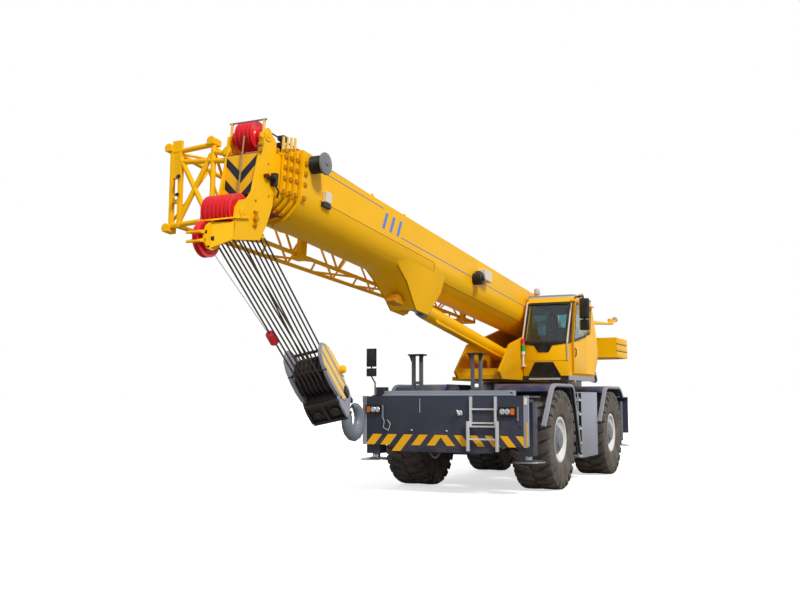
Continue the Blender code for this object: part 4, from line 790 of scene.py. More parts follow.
low_y, high_y = CAB_FRONT_Y
window("windscreen", [(low_y, -0.01), (high_y, -0.01), (high_y, BROW - 0.01), (low_y, BROW - 0.01)], "X",
       0.0, 0.052, "superstructure", UPPER_FRONT, 0.010, 0.012)
window("door_window", [(0.712, 2.862), (0.497, 3.712), (-0.292, 3.712), (-0.292, 3.022)], "Y", DOOR_FACE,
       0.042, "door", SUPER, sink=0.012)
window("quarter_window", [(-0.335, 3.04), (-0.335, 3.705), (-0.945, 3.705), (-0.835, 3.115)], "Y", CAB_SIDE,
       0.04, "superstructure", SUPER)
front_strip = rounded([(0.742, 2.852), (0.985, 2.812), (0.705, 3.70), (0.555, 3.70)], 0.03)
piece("pillar_glass", [prism(front_strip, "Y", CAB_SIDE, CAB_SIDE + 0.004)], BLACK, "superstructure", SUPER)
boom_side = [(-0.80, 3.00), (0.55, 3.00), (0.55, 3.66), (-0.80, 3.66)]
piece("boom_side_pane", [prism(boom_side, "Y", 0.505, 0.510)], GLASS, "superstructure", SUPER)
piece("rear_pane", [box((-1.30, -1.29), (0.62, 1.33), (3.12, 3.62))], GLASS, "superstructure", SUPER)

# black panel under the windscreen with its notch, from the plane's foot; y, z
notch = [(low_y, 0.69), (low_y, 0.655), (0.75, 0.625), (0.835, 0.485), (1.055, 0.485), (1.14, 0.625),
         (high_y, 0.66), (high_y, 0.69)]
grille = [(0.75, 0.285), (1.14, 0.285), (1.30, -0.01), (0.60, -0.01)]
black_front = [prism(notch, "X", 0.0, 0.008), prism(rounded(grille, 0.02), "X", 0.0, 0.008)]
piece("cab_black_front", black_front, BLACK, "superstructure", LOWER_FRONT)
# painted shade: a dark line along the crease across the cab's lower front panel
crease = [box((0.0, 0.004), CAB_FRONT_Y, (0.308, 0.314))]
piece("cab_crease_shade", crease, SHADED_YELLOW, "superstructure", LOWER_FRONT)

# place of the plane, low and high end of the trim
PILLAR_TRIM = 0.032
trims = {"upper": (UPPER_FRONT, -0.01, BROW + 0.02), "lower": (LOWER_FRONT, 0.315, SKIRT + 0.01)}
for part, (place, low, high) in trims.items():
    strips = [box((0.0, 0.014), (y, y + PILLAR_TRIM), (low, high)) for y in (low_y - PILLAR_TRIM, high_y)]
    piece(f"pillar_trim_{part}", strips, CREAM, "superstructure", place, bevel=0.004)

# name, material, bevel, ends along X, ends across, radius of the corners, low and high face
ROOF_SHEETS = [
    ("cab_roof", PANEL_GREY, 0.015, (-0.95, 0.50), (0.46, 1.475), 0.08, (3.835, 3.884)),
    ("roof_hatch", BLACK, 0.0, (-0.45, 0.25), (0.66, 1.30), 0.05, (3.88, 3.892)),
    ("roof_gutter", CREAM, 0.01, (-0.97, 0.56), (0.475, 1.462), 0.06, (3.80, 3.838)),
]
for name, material, bevel, x, y, radius, z in ROOF_SHEETS:
    piece(name, [prism(sheet(x, y, radius), "Z", *z)], material, "superstructure", SUPER, bevel=bevel)

HANDLE_X = 0.645
HANDLE_STAND = DOOR_FACE + 0.03
well = sheet(around(HANDLE_X, 0.02), (2.55, 2.76), 0.02)
piece("door_handle_well", [prism(well, "Y", DOOR_FACE, DOOR_FACE + 0.003)], BLACK, "door", SUPER)
grip = [(HANDLE_X, DOOR_FACE, 2.57), (HANDLE_X, HANDLE_STAND, 2.60), (HANDLE_X, HANDLE_STAND, 2.71),
        (HANDLE_X, DOOR_FACE, 2.74)]
piece("door_handle", [pipe(grip, 0.009)], BLACK, "door", SUPER)
# the gap round the door, drawn as a ring of the darker shaded yellow: painted shade in the gap
door_gap = border([(0.727, 2.253), (0.727, 2.953), (0.529, 3.727), (-0.307, 3.727), (-0.307, 2.253)],
                  [(0.715, 2.265), (0.715, 2.949), (0.517, 3.715), (-0.295, 3.715), (-0.295, 2.265)],
                  "Y", CAB_SIDE + 0.002, DOOR_FACE - 0.003)
piece("door_gap_shade", [door_gap], SHADED_YELLOW, "door", SUPER)

# dark lining of the cab's walls, roof and floor, open at the windows
side_wall = [(-1.10, 2.30), (0.85, 2.30), (0.52, 3.78), (-0.92, 3.78)]
rear_wall = [(0.55, 2.30), (1.40, 2.30), (1.40, 3.78), (0.55, 3.78)]
rear_opening = [(0.64, 3.15), (1.31, 3.15), (1.31, 3.60), (0.64, 3.60)]
lining = [border(side_wall, boom_side, "Y", 0.552, 0.556),
          border(rear_wall, rear_opening, "X", -1.06, -1.055)]
# roof, floor and seat box; x, y, z
LINING_BOXES = [
    ((-0.92, 0.50), (0.55, 1.40), (3.775, 3.785)), ((-1.10, 0.88), (0.55, 1.40), (2.235, 2.245)),
    ((-1.05, -0.50), (0.75, 1.25), (2.24, 2.95)),
]
lining += [box(*spans) for spans in LINING_BOXES]
piece("cab_lining", lining, LINING, "superstructure", SUPER)

# half width, low and high edge of the mirrors on the cab's front corner
CAB_MIRRORS = [(0.10, 3.365, 3.790), (0.095, 3.125, 3.345)]
MIRROR_PLACE = (0.46, 1.665)
shells, glasses = [], []
for half, low, high in CAB_MIRRORS:
    x, y = MIRROR_PLACE
    outline = sheet(around(y, half), (low, high), 0.03)
    rings = [(x - 0.036, outline), (x + 0.01, outline), (x + 0.045, inset(outline, 0.025))]
    shells.append(loop_mesh([[(along, *point) for point in ring] for along, ring in rings]))
    glasses.append(prism(inset(outline, 0.012), "X", x - 0.040, x - 0.036))
arm = [(0.45, 1.38, 3.81), (0.46, 1.64, 3.84), (0.46, 1.665, 3.70), (0.46, 1.665, 3.20)]
shells.append(pipe(arm, 0.018, 12))
piece("cab_mirrors", shells, BLACK, "superstructure", SUPER, bevel=0.006)
piece("cab_mirror_glass", glasses, LENS, "superstructure", SUPER)

beacon = [(3.86, 0.02), (3.86, 0.05), (3.93, 0.045), (3.935, 0.075), (3.95, 0.078), (3.955, 0.066),
          (4.03, 0.062), (4.055, 0.048), (4.066, 0.02)]
piece("beacon", [turned(beacon, 32, "Z", (0.30, 0.60, 0.0))], BEACON_LENS, "superstructure", SUPER)

STACK = (1.10, 0.534)
tower = [disc("Z", STACK, 0.018, 2.36, 2.62, 0.003), disc("Z", STACK, 0.036, 2.60, 2.675, 0.006),
         box((0.99, 1.12), around(STACK[1], 0.025), (2.365, 2.385))]
piece("stack_lamp_pole", tower, WHITE, "superstructure", SUPER)
piece("stack_lamp_green", [disc("Z", STACK, 0.037, 2.675, 2.80, 0.006)], GREEN, "superstructure", SUPER)
piece("stack_lamp_middle", [disc("Z", STACK, 0.035, 2.80, 2.84, 0.003)], AMBER, "superstructure", SUPER)
piece("stack_lamp_red", [disc("Z", STACK, 0.037, 2.84, 2.94, 0.01)], RED, "superstructure", SUPER)

arm = [(-1.10, 1.35, 3.39), (-3.10, 1.42, 3.52), (-3.42, 1.42, 3.62)]
lamp = [pipe(arm, 0.03, 12), disc("X", (1.42, 3.65), 0.065, -3.50, -3.38, 0.02)]
piece("rear_lamp_arm", lamp, YELLOW, "superstructure", SUPER, bevel=0.003)
lamp_glass = disc("X", (1.42, 3.65), 0.05, -3.385, -3.372, 0.004)
piece("rear_lamp_glass", [lamp_glass], LENS, "superstructure", SUPER)

# steering wheel: middle, reach along each axis, sides
WHEEL_AT = (0.41, 0.97, 2.96)
WHEEL_REACH = (-0.05, 0.19, 0.16)
WHEEL_SIDES = 24


def wheel_point(k):
    """A point of the steering wheel's ring."""
    angle = 2 * math.pi * k / WHEEL_SIDES
    shares = (math.sin(angle), math.cos(angle), math.sin(angle))
    return tuple(at + reach * share for at, reach, share in zip(WHEEL_AT, WHEEL_REACH, shares))


column = [pipe([(0.62, 0.97, 2.25), (0.42, 0.97, 2.92)], 0.05), box((0.45, 0.85), (0.70, 1.25), (2.24, 2.72))]
column += [pipe([wheel_point(k), wheel_point(k + 1)], 0.014, 6) for k in range(WHEEL_SIDES)]
column.append(box((0.395, 0.425), (0.80, 1.14), (2.945, 2.975)))
piece("steering_column", column, BLACK, "superstructure", SUPER, bevel=0.01)


# Platform and counterweight
SLAB_EDGE = (CAB_SIDE - 0.02, CAB_SIDE + 0.006)
# name, material, bevel, ends along X, ends across, low and high face
PLATFORM_TRIM = [
    ("platform_front", BLACK, 0.0, (0.975, 0.988), (0.45, 1.455), (2.083, 2.172)),
    ("platform_step", SILVER, 0.003, (0.985, 1.02), (0.62, 1.28), (2.09, 2.125)),
    ("platform_side", PANEL_GREY, 0.003, (-1.11, 0.985), SLAB_EDGE, (2.082, 2.174)),
]
for name, material, bevel, *spans in PLATFORM_TRIM:
    piece(name, [box(*spans)], material, "superstructure", SUPER, bevel=bevel)
marker = prism(sheet((0.50, 0.58), (2.035, 2.085), 0.012), "Y", CAB_SIDE - 0.01, CAB_SIDE + 0.02)
piece("platform_marker", [marker], AMBER, "superstructure", SUPER)

# hoses that loop out of the cab's rear wall and back under it
HOSE_TURN = 0.05
# height where the hose leaves the cab, how far behind the platform it turns
HOSES = [(2.30, 0.20), (2.24, 0.25), (2.18, 0.29)]
hoses = []
for rise, reach in HOSES:
    back = -1.11 - reach
    low = rise - 2 * HOSE_TURN
    loop = [(-1.08, 1.34, rise), (back, 1.41, rise), (back - HOSE_TURN, 1.42, rise - HOSE_TURN),
            (back, 1.41, low), (-1.09, 1.36, max(low, 2.11))]
    hoses.append(pipe(bent(loop, 0.025, 4), 0.024, 10))
piece("slew_hoses", hoses, BLACK, "superstructure", SUPER)

WEIGHT_X = (-4.35, -3.00)
WEIGHT_HALF = 1.55
WEIGHT_FOOT = 2.70
WEIGHT_LAYER = 0.5 / 3
WEIGHT_CORNER = (0.20, 0.30)
gaps = []
outline = [(WEIGHT_X[1], -WEIGHT_HALF), (WEIGHT_X[1], WEIGHT_HALF),
           (WEIGHT_X[0] + WEIGHT_CORNER[0], WEIGHT_HALF), (WEIGHT_X[0], WEIGHT_HALF - WEIGHT_CORNER[1]),
           (WEIGHT_X[0], WEIGHT_CORNER[1] - WEIGHT_HALF), (WEIGHT_X[0] + WEIGHT_CORNER[0], -WEIGHT_HALF)]
for k in (1, 2):
    top = WEIGHT_FOOT + k * WEIGHT_LAYER
    gaps.append(prism(inset(outline, 0.008), "Z", top - 0.026, top + 0.001))
piece("counterweight_gaps", gaps, BLACK, "superstructure", SUPER)
studs = []
corner_place = (WEIGHT_X[0] + WEIGHT_CORNER[0] / 2, WEIGHT_HALF - WEIGHT_CORNER[1] / 2, 0.0)
corner = SUPER @ Matrix.Translation(corner_place)
corner = corner @ Matrix.Rotation(math.atan2(WEIGHT_CORNER[1], WEIGHT_CORNER[0]), 4, "Z")
for k in range(3):
    z = WEIGHT_FOOT + (k + 0.42) * WEIGHT_LAYER
    studs.append(disc("Y", (0.0, z), 0.05, -0.01, 0.03, 0.008))
# the studs take the darker shaded yellow: painted shade on yellow studs
piece("counterweight_studs", studs, SHADED_YELLOW, "superstructure", corner)


# Winches wound with rope
# name, place behind the slew axis, height, radius of the rope
WINCHES = [("main_winch", -2.72, 2.96, 0.165), ("auxiliary_winch", -1.25, 2.60, 0.15)]
WINCH_HALF = 0.40
WINCH_TURNS = 34
DRUM_BORE = 0.132
# height of a turn of rope across its pitch
TURN_SHAPE = [(0.1, -0.006), (0.5, 0.0), (0.9, -0.006)]
pitch = 2 * WINCH_HALF / WINCH_TURNS
for name, drum_x, drum_z, radius in WINCHES:
    profile = [(-WINCH_HALF, DRUM_BORE)]
    for k in range(WINCH_TURNS):
        profile += [(-WINCH_HALF + (k + share) * pitch, radius + rise) for share, rise in TURN_SHAPE]
    profile.append((WINCH_HALF, DRUM_BORE))
    piece(f"{name}_rope", [turned(profile, 40)], ROPE, name,
          SUPER @ Matrix.Translation((drum_x, 0.0, drum_z)))


# Boom
BASE_HALF = 0.40
BASE_TOP = 0.60
BASE_NOSE = 11.44
SECTION_STEP = 0.032
HEAD_HALF = 0.225
NOSE_Y = (0.056, 0.082)

# paint lines along the boom's sides: ends along the boom, low and high edge
PINSTRIPES = [((0.6, 8.42), (0.205, 0.222)), ((9.05, 10.90), (0.505, 0.518))]
# leaning bars: place of the first, pitch, then x from it and z
BAR_START = 8.40
BAR_PITCH = 0.245
BAR_LINE = [(0.0, 0.47), (0.085, 0.47), (0.20, 0.205), (0.115, 0.205)]
PAINT_SKIN = 0.0015
pinstripes, bars = [], []
for side in (1, -1):
    paint_y = across(side, BASE_HALF, BASE_HALF + PAINT_SKIN)
    pinstripes += [box(x, paint_y, z) for x, z in PINSTRIPES]
    for k in range(3):
        outline = [(BAR_START + BAR_PITCH * k + x, z) for x, z in BAR_LINE]
        bars.append(prism(outline, "Y", *paint_y))
piece("boom_pinstripes", pinstripes, LINE_BLUE, "boom", BOOM)
piece("boom_bars", bars, STRIPE_BLUE, "boom", BOOM)

# shell round the luffing cylinder's eye
# along the boom, half width and height of the wall's top, half width and height of its foot
BRACKET = [
    (8.48, 0.358, -0.090, 0.300, -0.100), (8.20, 0.388, -0.020, 0.300, -0.235),
    (7.92, 0.403, 0.045, 0.290, -0.370), (7.60, 0.406, 0.080, 0.250, -0.600),
    (7.42, 0.406, 0.090, 0.240, -0.745), (6.93, 0.403, 0.050, 0.235, -0.745),
    (6.60, 0.385, -0.030, 0.310, -0.320),
]
BRACKET_WALL = 0.03
gusset = []
for side in (1, -1):
    rings = []
    for x, top_y, top_z, foot_y, foot_z in BRACKET:
        outer = [(x, side * top_y, top_z), (x, side * foot_y, foot_z)]
        inner = [(x, side * (foot_y - BRACKET_WALL), foot_z), (x, side * (top_y - BRACKET_WALL), top_z)]
        rings.append(outer + inner)
    gusset.append(loop_mesh(rings))
front_rings = []
for x, _, _, y, z in BRACKET[:5]:
    back, top = x - BRACKET_WALL, z + BRACKET_WALL
    front_rings.append([(x, -y, z), (x, y, z), (back, y, top), (back, -y, top)])
gusset.append(loop_mesh(front_rings))
piece("luff_gusset", gusset, YELLOW, "boom", BOOM, bevel=0.006)
# the rest pad takes the darker shaded yellow: painted shade
roller = [box((7.60, 7.86), (-0.10, 0.10), (-0.70, -0.56)),
          disc("Y", (7.86, -0.66), 0.045, -0.09, 0.09, 0.01)]
piece("rest_pad", roller, SHADED_YELLOW, "boom", BOOM, bevel=0.006)

# painted shadow under the edge of the plate wrapped round the belly, along its seam
SEAM = [
    (11.30, 0.410, 0.10), (7.16, 0.410, 0.10), (7.11, 0.408, 0.06), (7.10, 0.393, -0.02),
    (7.10, 0.367, -0.08), (7.10, 0.342, -0.13), (0.60, 0.342, -0.13),
]
seam_shadows = [pipe([(x, side * y, z) for x, y, z in SEAM], 0.004, 6) for side in (1, -1)]
piece("boom_seam_shadows", seam_shadows, SEAM_SHADOW, "boom", BOOM)

# name, material, bevel, boxes as x, y, z
SIDE_BOXES = [
    ("nose_sensor", CREAM, 0.012, [((10.72, 10.86), (0.40, 0.47), (0.10, 0.25))]),
    ("nose_sensor_base", BLACK, 0.01, [((10.70, 10.90), (0.40, 0.455), (0.035, 0.10))]),
    ("side_box", CREAM, 0.015, [((4.74, 5.08), (0.40, 0.56), (0.22, 0.43))]),
]
for name, material, bevel, boxes in SIDE_BOXES:
    piece(name, [box(*spans) for spans in boxes], material, "boom", BOOM, bevel=bevel)
DRUM_AT = (5.28, 0.20)
drum = [disc("Y", DRUM_AT, 0.115, BASE_HALF, 0.58, 0.015), disc("Y", DRUM_AT, 0.05, 0.58, 0.61, 0.01),
        box((5.08, 5.22), (BASE_HALF, 0.50), (0.18, 0.36))]
piece("side_drum", drum, BLACK, "boom", BOOM, bevel=0.006)

# hoist rope over the boom; each section carries its own length of the line
ROPE_Y = 0.14
ROPE_START = (-0.45, 0.66)
ROPE_END = (11.40, 0.775)
ROPE_SIZE = 0.012
# body, rear end and nose of the section
RUNS = [
    ("boom", -0.45, 11.44), ("section_2", 0.60, 11.53), ("section_3", 0.75, 11.62),
    ("section_4", 0.90, 11.71), ("section_5", 1.15, 11.78),
]


def rope_height(x):
    """Height of the hoist rope at a place along the boom."""
    share = (x - ROPE_START[0]) / (ROPE_END[0] - ROPE_START[0])
    return ROPE_START[1] + share * (ROPE_END[1] - ROPE_START[1])


# guides: two plates beside the rope and a low roller between them
GUIDE_STATIONS = (9.05, 7.90, 6.00, 3.60, 1.60)
GUIDE_HALF = (0.09, 0.03)
GUIDE_Y = (0.042, 0.058)
GUIDE_FOOT = BASE_TOP - 0.01
ROLLER_Z = 0.618
ROLLER_RADIUS = 0.026
guides = []
for x in GUIDE_STATIONS:
    top = rope_height(x) + ROPE_SIZE
    wide, narrow = GUIDE_HALF
    outline = [(x - wide, GUIDE_FOOT), (x + wide, GUIDE_FOOT), (x + narrow, top), (x - narrow, top)]
    for side in (1, -1):
        guides.append(prism(outline, "Y", *sorted(ROPE_Y + side * y for y in GUIDE_Y)))
    guides.append(disc("Y", (x, ROLLER_Z), ROLLER_RADIUS, ROPE_Y - 0.05, ROPE_Y + 0.05, 0.004, 20))
piece("rope_guides", guides, YELLOW, "boom", BOOM, bevel=0.004)

STRAND_STEP = 0.0004     # each section's strand is this much thinner than the one round it
for k, (body, tail, nose) in enumerate(RUNS):
    run = [(tail, ROPE_Y, rope_height(tail)), (nose, ROPE_Y, rope_height(nose))]
    if body == "section_5":
        run.append((UPPER_SHEAVES[0] - 0.05, 0.0, UPPER_SHEAVES[1] + 0.185))
    piece(f"hoist_rope_{body}", [pipe(run, ROPE_SIZE - STRAND_STEP * k, 8)], ROPE, body, BOOM)
# the rope between the winch and the boom's tail: a straight line in short steps, riding on no body
DRUM_END = Vector((-1.09, ROPE_Y, -0.045))
TAIL_END = Vector((ROPE_START[0], ROPE_Y, ROPE_START[1]))
TAIL_STEPS = 12
stations = [DRUM_END.lerp(TAIL_END, k / TAIL_STEPS) for k in range(TAIL_STEPS + 1)]
tail_rope = piece("hoist_rope_drum", [pipe(stations, ROPE_SIZE, 8)], ROPE, "", BOOM)
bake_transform(tail_rope)

# bolted blocks, pad adjusters and hose clips on the collars
# body, step of its section, nose of the collar, low and high edge of its upright plate
COLLARS = [
    ("boom", 0, BASE_NOSE, 0.60, 0.82), ("section_2", 1, 11.53, 0.58, 0.795),
    ("section_3", 2, 11.62, 0.55, 0.77), ("section_4", 3, 11.71, 0.52, 0.745),
]
COLLAR_REACH = 0.052
BASE_COLLAR_BACK = 0.05
BLOCK_FEET = (-0.02, 0.16, 0.30, 0.44)
BLOCK_HEIGHT = 0.055
PAD_PLACES = (-0.30, -0.14, 0.20, 0.32)
PAD_HALF = 0.03
BELLY_Z = 0.10
# first angle, step and count of the adjusters round the belly
BELLY_SCREWS = (200, 35, 5)
PLATE_Y = (0.27, 0.295)
# the collars' blocks and screws take the darker shaded yellow: painted shade on yellow parts
for body, step, nose, _, _ in COLLARS:
    half = BASE_HALF - step * SECTION_STEP + 0.03
    top = BASE_TOP - step * SECTION_STEP + 0.03
    front = nose if step else nose - BASE_COLLAR_BACK
    ends = (front - COLLAR_REACH, front + 0.006)
    blocks = []
    for z in BLOCK_FEET:
        for side in (1, -1):
            block_y = across(side, half - 0.01, half + 0.022)
            screw_y = across(side, half + 0.02, half + 0.034)
            blocks.append(box(ends, block_y, (z, z + BLOCK_HEIGHT)))
            blocks.append(disc("Y", (front - 0.024, z + 0.027), 0.012, *screw_y, sides=6))
    for y in PAD_PLACES:
        blocks.append(box(ends, around(y, PAD_HALF), (top - 0.01, top + 0.03)))
    first, turn, count = BELLY_SCREWS
    for k in range(count):
        angle = math.radians(first + turn * k)
        place = (0.99 * half * math.cos(angle), BELLY_Z + 0.004 + half * math.sin(angle))
        blocks.append(disc("X", place, 0.016, front - 0.01, front + 0.012, 0.003, 12))
    piece(f"collar_blocks_{body}", blocks, SHADED_YELLOW, body, BOOM, bevel=0.004)
# the upright collar plates take the paler lit yellow: painted light on yellow plates
for body, _, nose, low, high in COLLARS:
    outline = [(nose - 0.05, low), (nose, low), (nose - 0.005, high - 0.01), (nose - 0.02, high),
               (nose - 0.035, high - 0.01)]
    piece(f"collar_plate_{body}", [prism(outline, "Y", *PLATE_Y)], LIT_YELLOW, body, BOOM, bevel=0.003)

REEL_AT = (11.20, 0.50)
REEL_START = 0.432
REEL_PITCH = 0.026
reel = []
for k in range(7):
    y = REEL_START + REEL_PITCH * k
    reel.append(disc("Y", REEL_AT, 0.118, y, y + 0.018, 0.004, 40))
reel.append(disc("Y", REEL_AT, 0.105, REEL_START, 0.62, 0.0, 40))
piece("reel_drum", reel, BLACK, "boom", BOOM, ["cable_reel"])
cover = [(0.612, 0.02), (0.612, 0.147), (0.625, 0.15), (0.640, 0.142), (0.643, 0.12), (0.650, 0.05),
         (0.650, 0.02)]
cover_shapes = [turned(cover, 48, "Y", (REEL_AT[0], 0.0, REEL_AT[1])),
                disc("Y", REEL_AT, 0.03, 0.64, 0.665, 0.006)]
piece("reel_cover", cover_shapes, HUB_GREY, "boom", BOOM)


# Sheaves of the boom head
def sheave(middle, half, radius):
    """One grooved disc; along the shaft, then radius."""
    waist = radius - 0.055
    side = [(half, 0.052), (half, 0.085), (0.45 * half, 0.10), (0.45 * half, waist),
            (0.86 * half, waist + 0.03), (0.90 * half, radius), (0.62 * half, radius),
            (0.25 * half, radius - 0.030)]
    profile = [(middle - along, size) for along, size in side]
    profile += [(middle + along, size) for along, size in side[::-1]]
    return turned(profile, 64)


# name, body, place along the boom, count, half width of the pack, radius
PACKS = [
    ("upper_sheaves", "upper_sheave_pack", UPPER_SHEAVES, 4, 0.125, 0.185),
    ("lower_sheaves", "lower_sheave_pack", LOWER_SHEAVES, 7, 0.21, 0.22),
    ("nose_sheave", "nose_sheave_wheel", NOSE_SHEAVE, 1, 0.045, 0.215),
]
for name, body, (x, z), count, half, radius in PACKS:
    width = half / count
    discs = [sheave(-half + (2 * k + 1) * width, width * 0.94, radius) for k in range(count)]
    hub = NOSE_Y[0] - 0.004 if count == 1 else HEAD_HALF - 0.004
    discs.append(turned([(-hub, 0.051), (-hub, 0.085), (hub, 0.085), (hub, 0.051)], 32))
    place = BOOM @ Matrix.Translation((x, 0.0, z))
    piece(f"{name}_discs", discs, RED, body, place, [name])


# Boom head: two cheeks, the warning panel between them and the nose that carries its own sheave
HEAD_PLATE = 0.028
CHEEK_FACE = HEAD_HALF + HEAD_PLATE
CHEEK_LINE = [
    (11.79, 0.02), (11.79, 0.55), (11.83, 0.66), (11.94, 0.70), (12.06, 0.70), (12.14, 0.64), (12.15, 0.40),
    (12.19, 0.17), (12.25, -0.15), (12.34, -0.26), (12.47, -0.31), (12.55, -0.42), (12.565, -0.60),
    (12.555, -0.815), (12.02, -0.69), (11.90, -0.47), (11.80, -0.20),
]
cheeks = []
for side in (1, -1):
    cheeks.append(prism(CHEEK_LINE, "Y", *across(side, HEAD_HALF, CHEEK_FACE)))
# plate on the end of the last section; y, z
REAR_PLATE = [(-0.262, -0.10), (-0.262, 0.455), (0.262, 0.455), (0.262, -0.10), (0.16, -0.165),
              (-0.16, -0.165)]
cheeks.append(prism(rounded(REAR_PLATE, 0.06), "X", 11.80, 11.85))
# middle and length of the webs between the cheeks
WEBS = [(11.95, 0.40, 0.22), (11.98, -0.62, 0.20), (11.93, -0.16, 0.20)]
WEB_HALF = 0.015
for x, z, width in WEBS:
    cheeks.append(box((x - width / 2, x + width / 2), (-HEAD_HALF, HEAD_HALF), around(z, WEB_HALF)))
for x, z in (UPPER_SHEAVES, LOWER_SHEAVES):
    cheeks.append(disc("Y", (x, z), 0.05, -CHEEK_FACE - 0.02, CHEEK_FACE + 0.02, 0.008, 24))
    for side in (1, -1):
        cheeks.append(disc("Y", (x, z), 0.085, *across(side, CHEEK_FACE, CHEEK_FACE + 0.012), 0.004, 32))
piece("head_cheeks", cheeks, YELLOW, "section_5", BOOM, ["boom_head"], bevel=0.004)

PANEL_FACE = 12.155
PANEL_Z = (-0.13, 0.38)
panel_half = HEAD_HALF - 0.002
panel = [box((PANEL_FACE - 0.02, PANEL_FACE), (-panel_half, panel_half), PANEL_Z)]
piece("panel_yellow", panel, STRIPE_YELLOW, "section_5", BOOM)
chevrons = []
for side in (1, -1):
    for points in ([(0.0, 0.01), (panel_half, 0.25), (panel_half, 0.36), (0.0, 0.15)],
                   [(0.015, PANEL_Z[0]), (panel_half, 0.08), (panel_half, -0.045), (0.125, PANEL_Z[0])]):
        chevrons.append(prism([(side * y, z) for y, z in points], "X", PANEL_FACE, PANEL_FACE + SKIN))
piece("panel_chevrons", chevrons, PANEL_BLACK, "section_5", BOOM)
# dark maroon bands under and over the warning panel: painted shade between the panel, the cheeks and the
# sheaves
panel_shade = [box((12.06, 12.10), (-panel_half, panel_half), (-0.18, -0.125)),
          box((12.05, 12.15), (-panel_half, panel_half), (0.375, 0.395))]
piece("panel_painted_shade", panel_shade, MAROON, "section_5", BOOM)
panel_rope = [pipe([(12.20, 0.045, 0.60), (12.195, 0.0, -0.26)], 0.011, 8)]
piece("panel_rope", panel_rope, PALE_ROPE, "section_5", BOOM)

# levers and small bosses on the near cheek; along the boom, height, radius, how far they stand out
BOSSES = [(12.17, -0.232, 0.018, 0.012), (12.16, 0.48, 0.03, 0.05), (12.165, -0.464, 0.035, 0.05),
          (11.90, -0.10, 0.016, 0.010), (11.95, 0.30, 0.016, 0.010)]
bosses = []
for x, z, radius, proud in BOSSES:
    bosses.append(disc("Y", (x, z), radius, CHEEK_FACE - 0.01, CHEEK_FACE + proud, 0.005, 20))
LEVER_HALF = 0.09
for x, z in ((12.16, 0.48), (12.165, -0.464)):
    bosses.append(box(around(x, 0.012), (CHEEK_FACE, CHEEK_FACE + 0.045), around(z, LEVER_HALF)))
    for end in around(z, LEVER_HALF):
        bosses.append(box(around(x, 0.035), (CHEEK_FACE, CHEEK_FACE + 0.02), around(end, 0.01)))
# the bosses and levers take the darker shaded yellow: painted shade
piece("cheek_bosses", bosses, SHADED_YELLOW, "section_5", BOOM, bevel=0.003)

# nose: two plates beside the sheave, a box that narrows towards them, a ledge and two fingers in front
nose_plate = [(12.62, -0.64), (12.74, -0.615), (12.84, -0.70), (12.875, -0.80), (12.865, -0.90),
              (12.79, -0.965), (12.70, -0.965), (12.58, -0.90)]
nose = []
for side in (1, -1):
    nose.append(prism(nose_plate, "Y", *across(side, NOSE_Y[0], NOSE_Y[1])))
    near, far = side * CHEEK_FACE, side * NOSE_Y[1]
    wide = [(12.55, near, -0.600), (12.57, near, -0.600), (12.57, near, -0.812), (12.55, near, -0.812)]
    narrow = [(12.72, far, -0.640), (12.75, far, -0.640), (12.75, far, -0.945), (12.72, far, -0.945)]
    nose.append(loop_mesh([wide, narrow]))
ledge = [(12.575, -CHEEK_FACE), (12.575, CHEEK_FACE + 0.02), (12.62, CHEEK_FACE + 0.02),
         (12.80, NOSE_Y[1] + 0.02), (12.80, -NOSE_Y[1]), (12.62, -CHEEK_FACE)]
nose.append(loop_mesh([[(x, y, z_shift - 0.56 - 0.35 * (x - 12.575)) for x, y in ledge]
                       for z_shift in (0.0, 0.018)]))
rail = [(12.30, -0.478), (12.58, -0.548), (12.58, -0.566), (12.30, -0.496)]
nose.append(prism(rail, "Y", CHEEK_FACE, CHEEK_FACE + 0.03))
for start, end in (((12.83, -0.775), (12.985, -0.805)), ((12.85, -0.875), (12.975, -0.91))):
    for side in (1, -1):
        bar = [(start[0], start[1] + 0.025), (end[0], end[1] + 0.014), (end[0], end[1] - 0.014),
               (start[0], start[1] - 0.025)]
        nose.append(prism(bar, "Y", *across(side, NOSE_Y[0], NOSE_Y[1])))
    nose.append(disc("Y", (end[0] - 0.02, end[1]), 0.016, -NOSE_Y[1] - 0.02, NOSE_Y[1] + 0.02, 0.003, 16))
piece("nose_plates", nose, YELLOW, "section_5", BOOM, bevel=0.003)
pins = [disc("Y", NOSE_SHEAVE, 0.028, NOSE_Y[1], NOSE_Y[1] + 0.025, 0.004, 16),
        disc("Y", (12.80, -0.94), 0.012, NOSE_Y[1], NOSE_Y[1] + 0.02, 0.002, 6)]
piece("nose_pins", pins, BLACK, "section_5", BOOM)

# guard over the upper sheaves: posts on the cheeks and a rod across
GUARD_AT = (12.075, 0.835)
posts = []
for side in (1, -1):
    post_y = across(side, HEAD_HALF + 0.004, HEAD_HALF + 0.024)
    posts.append(box((GUARD_AT[0] - 0.02, GUARD_AT[0] + 0.02), post_y, (0.62, GUARD_AT[1] + 0.015)))
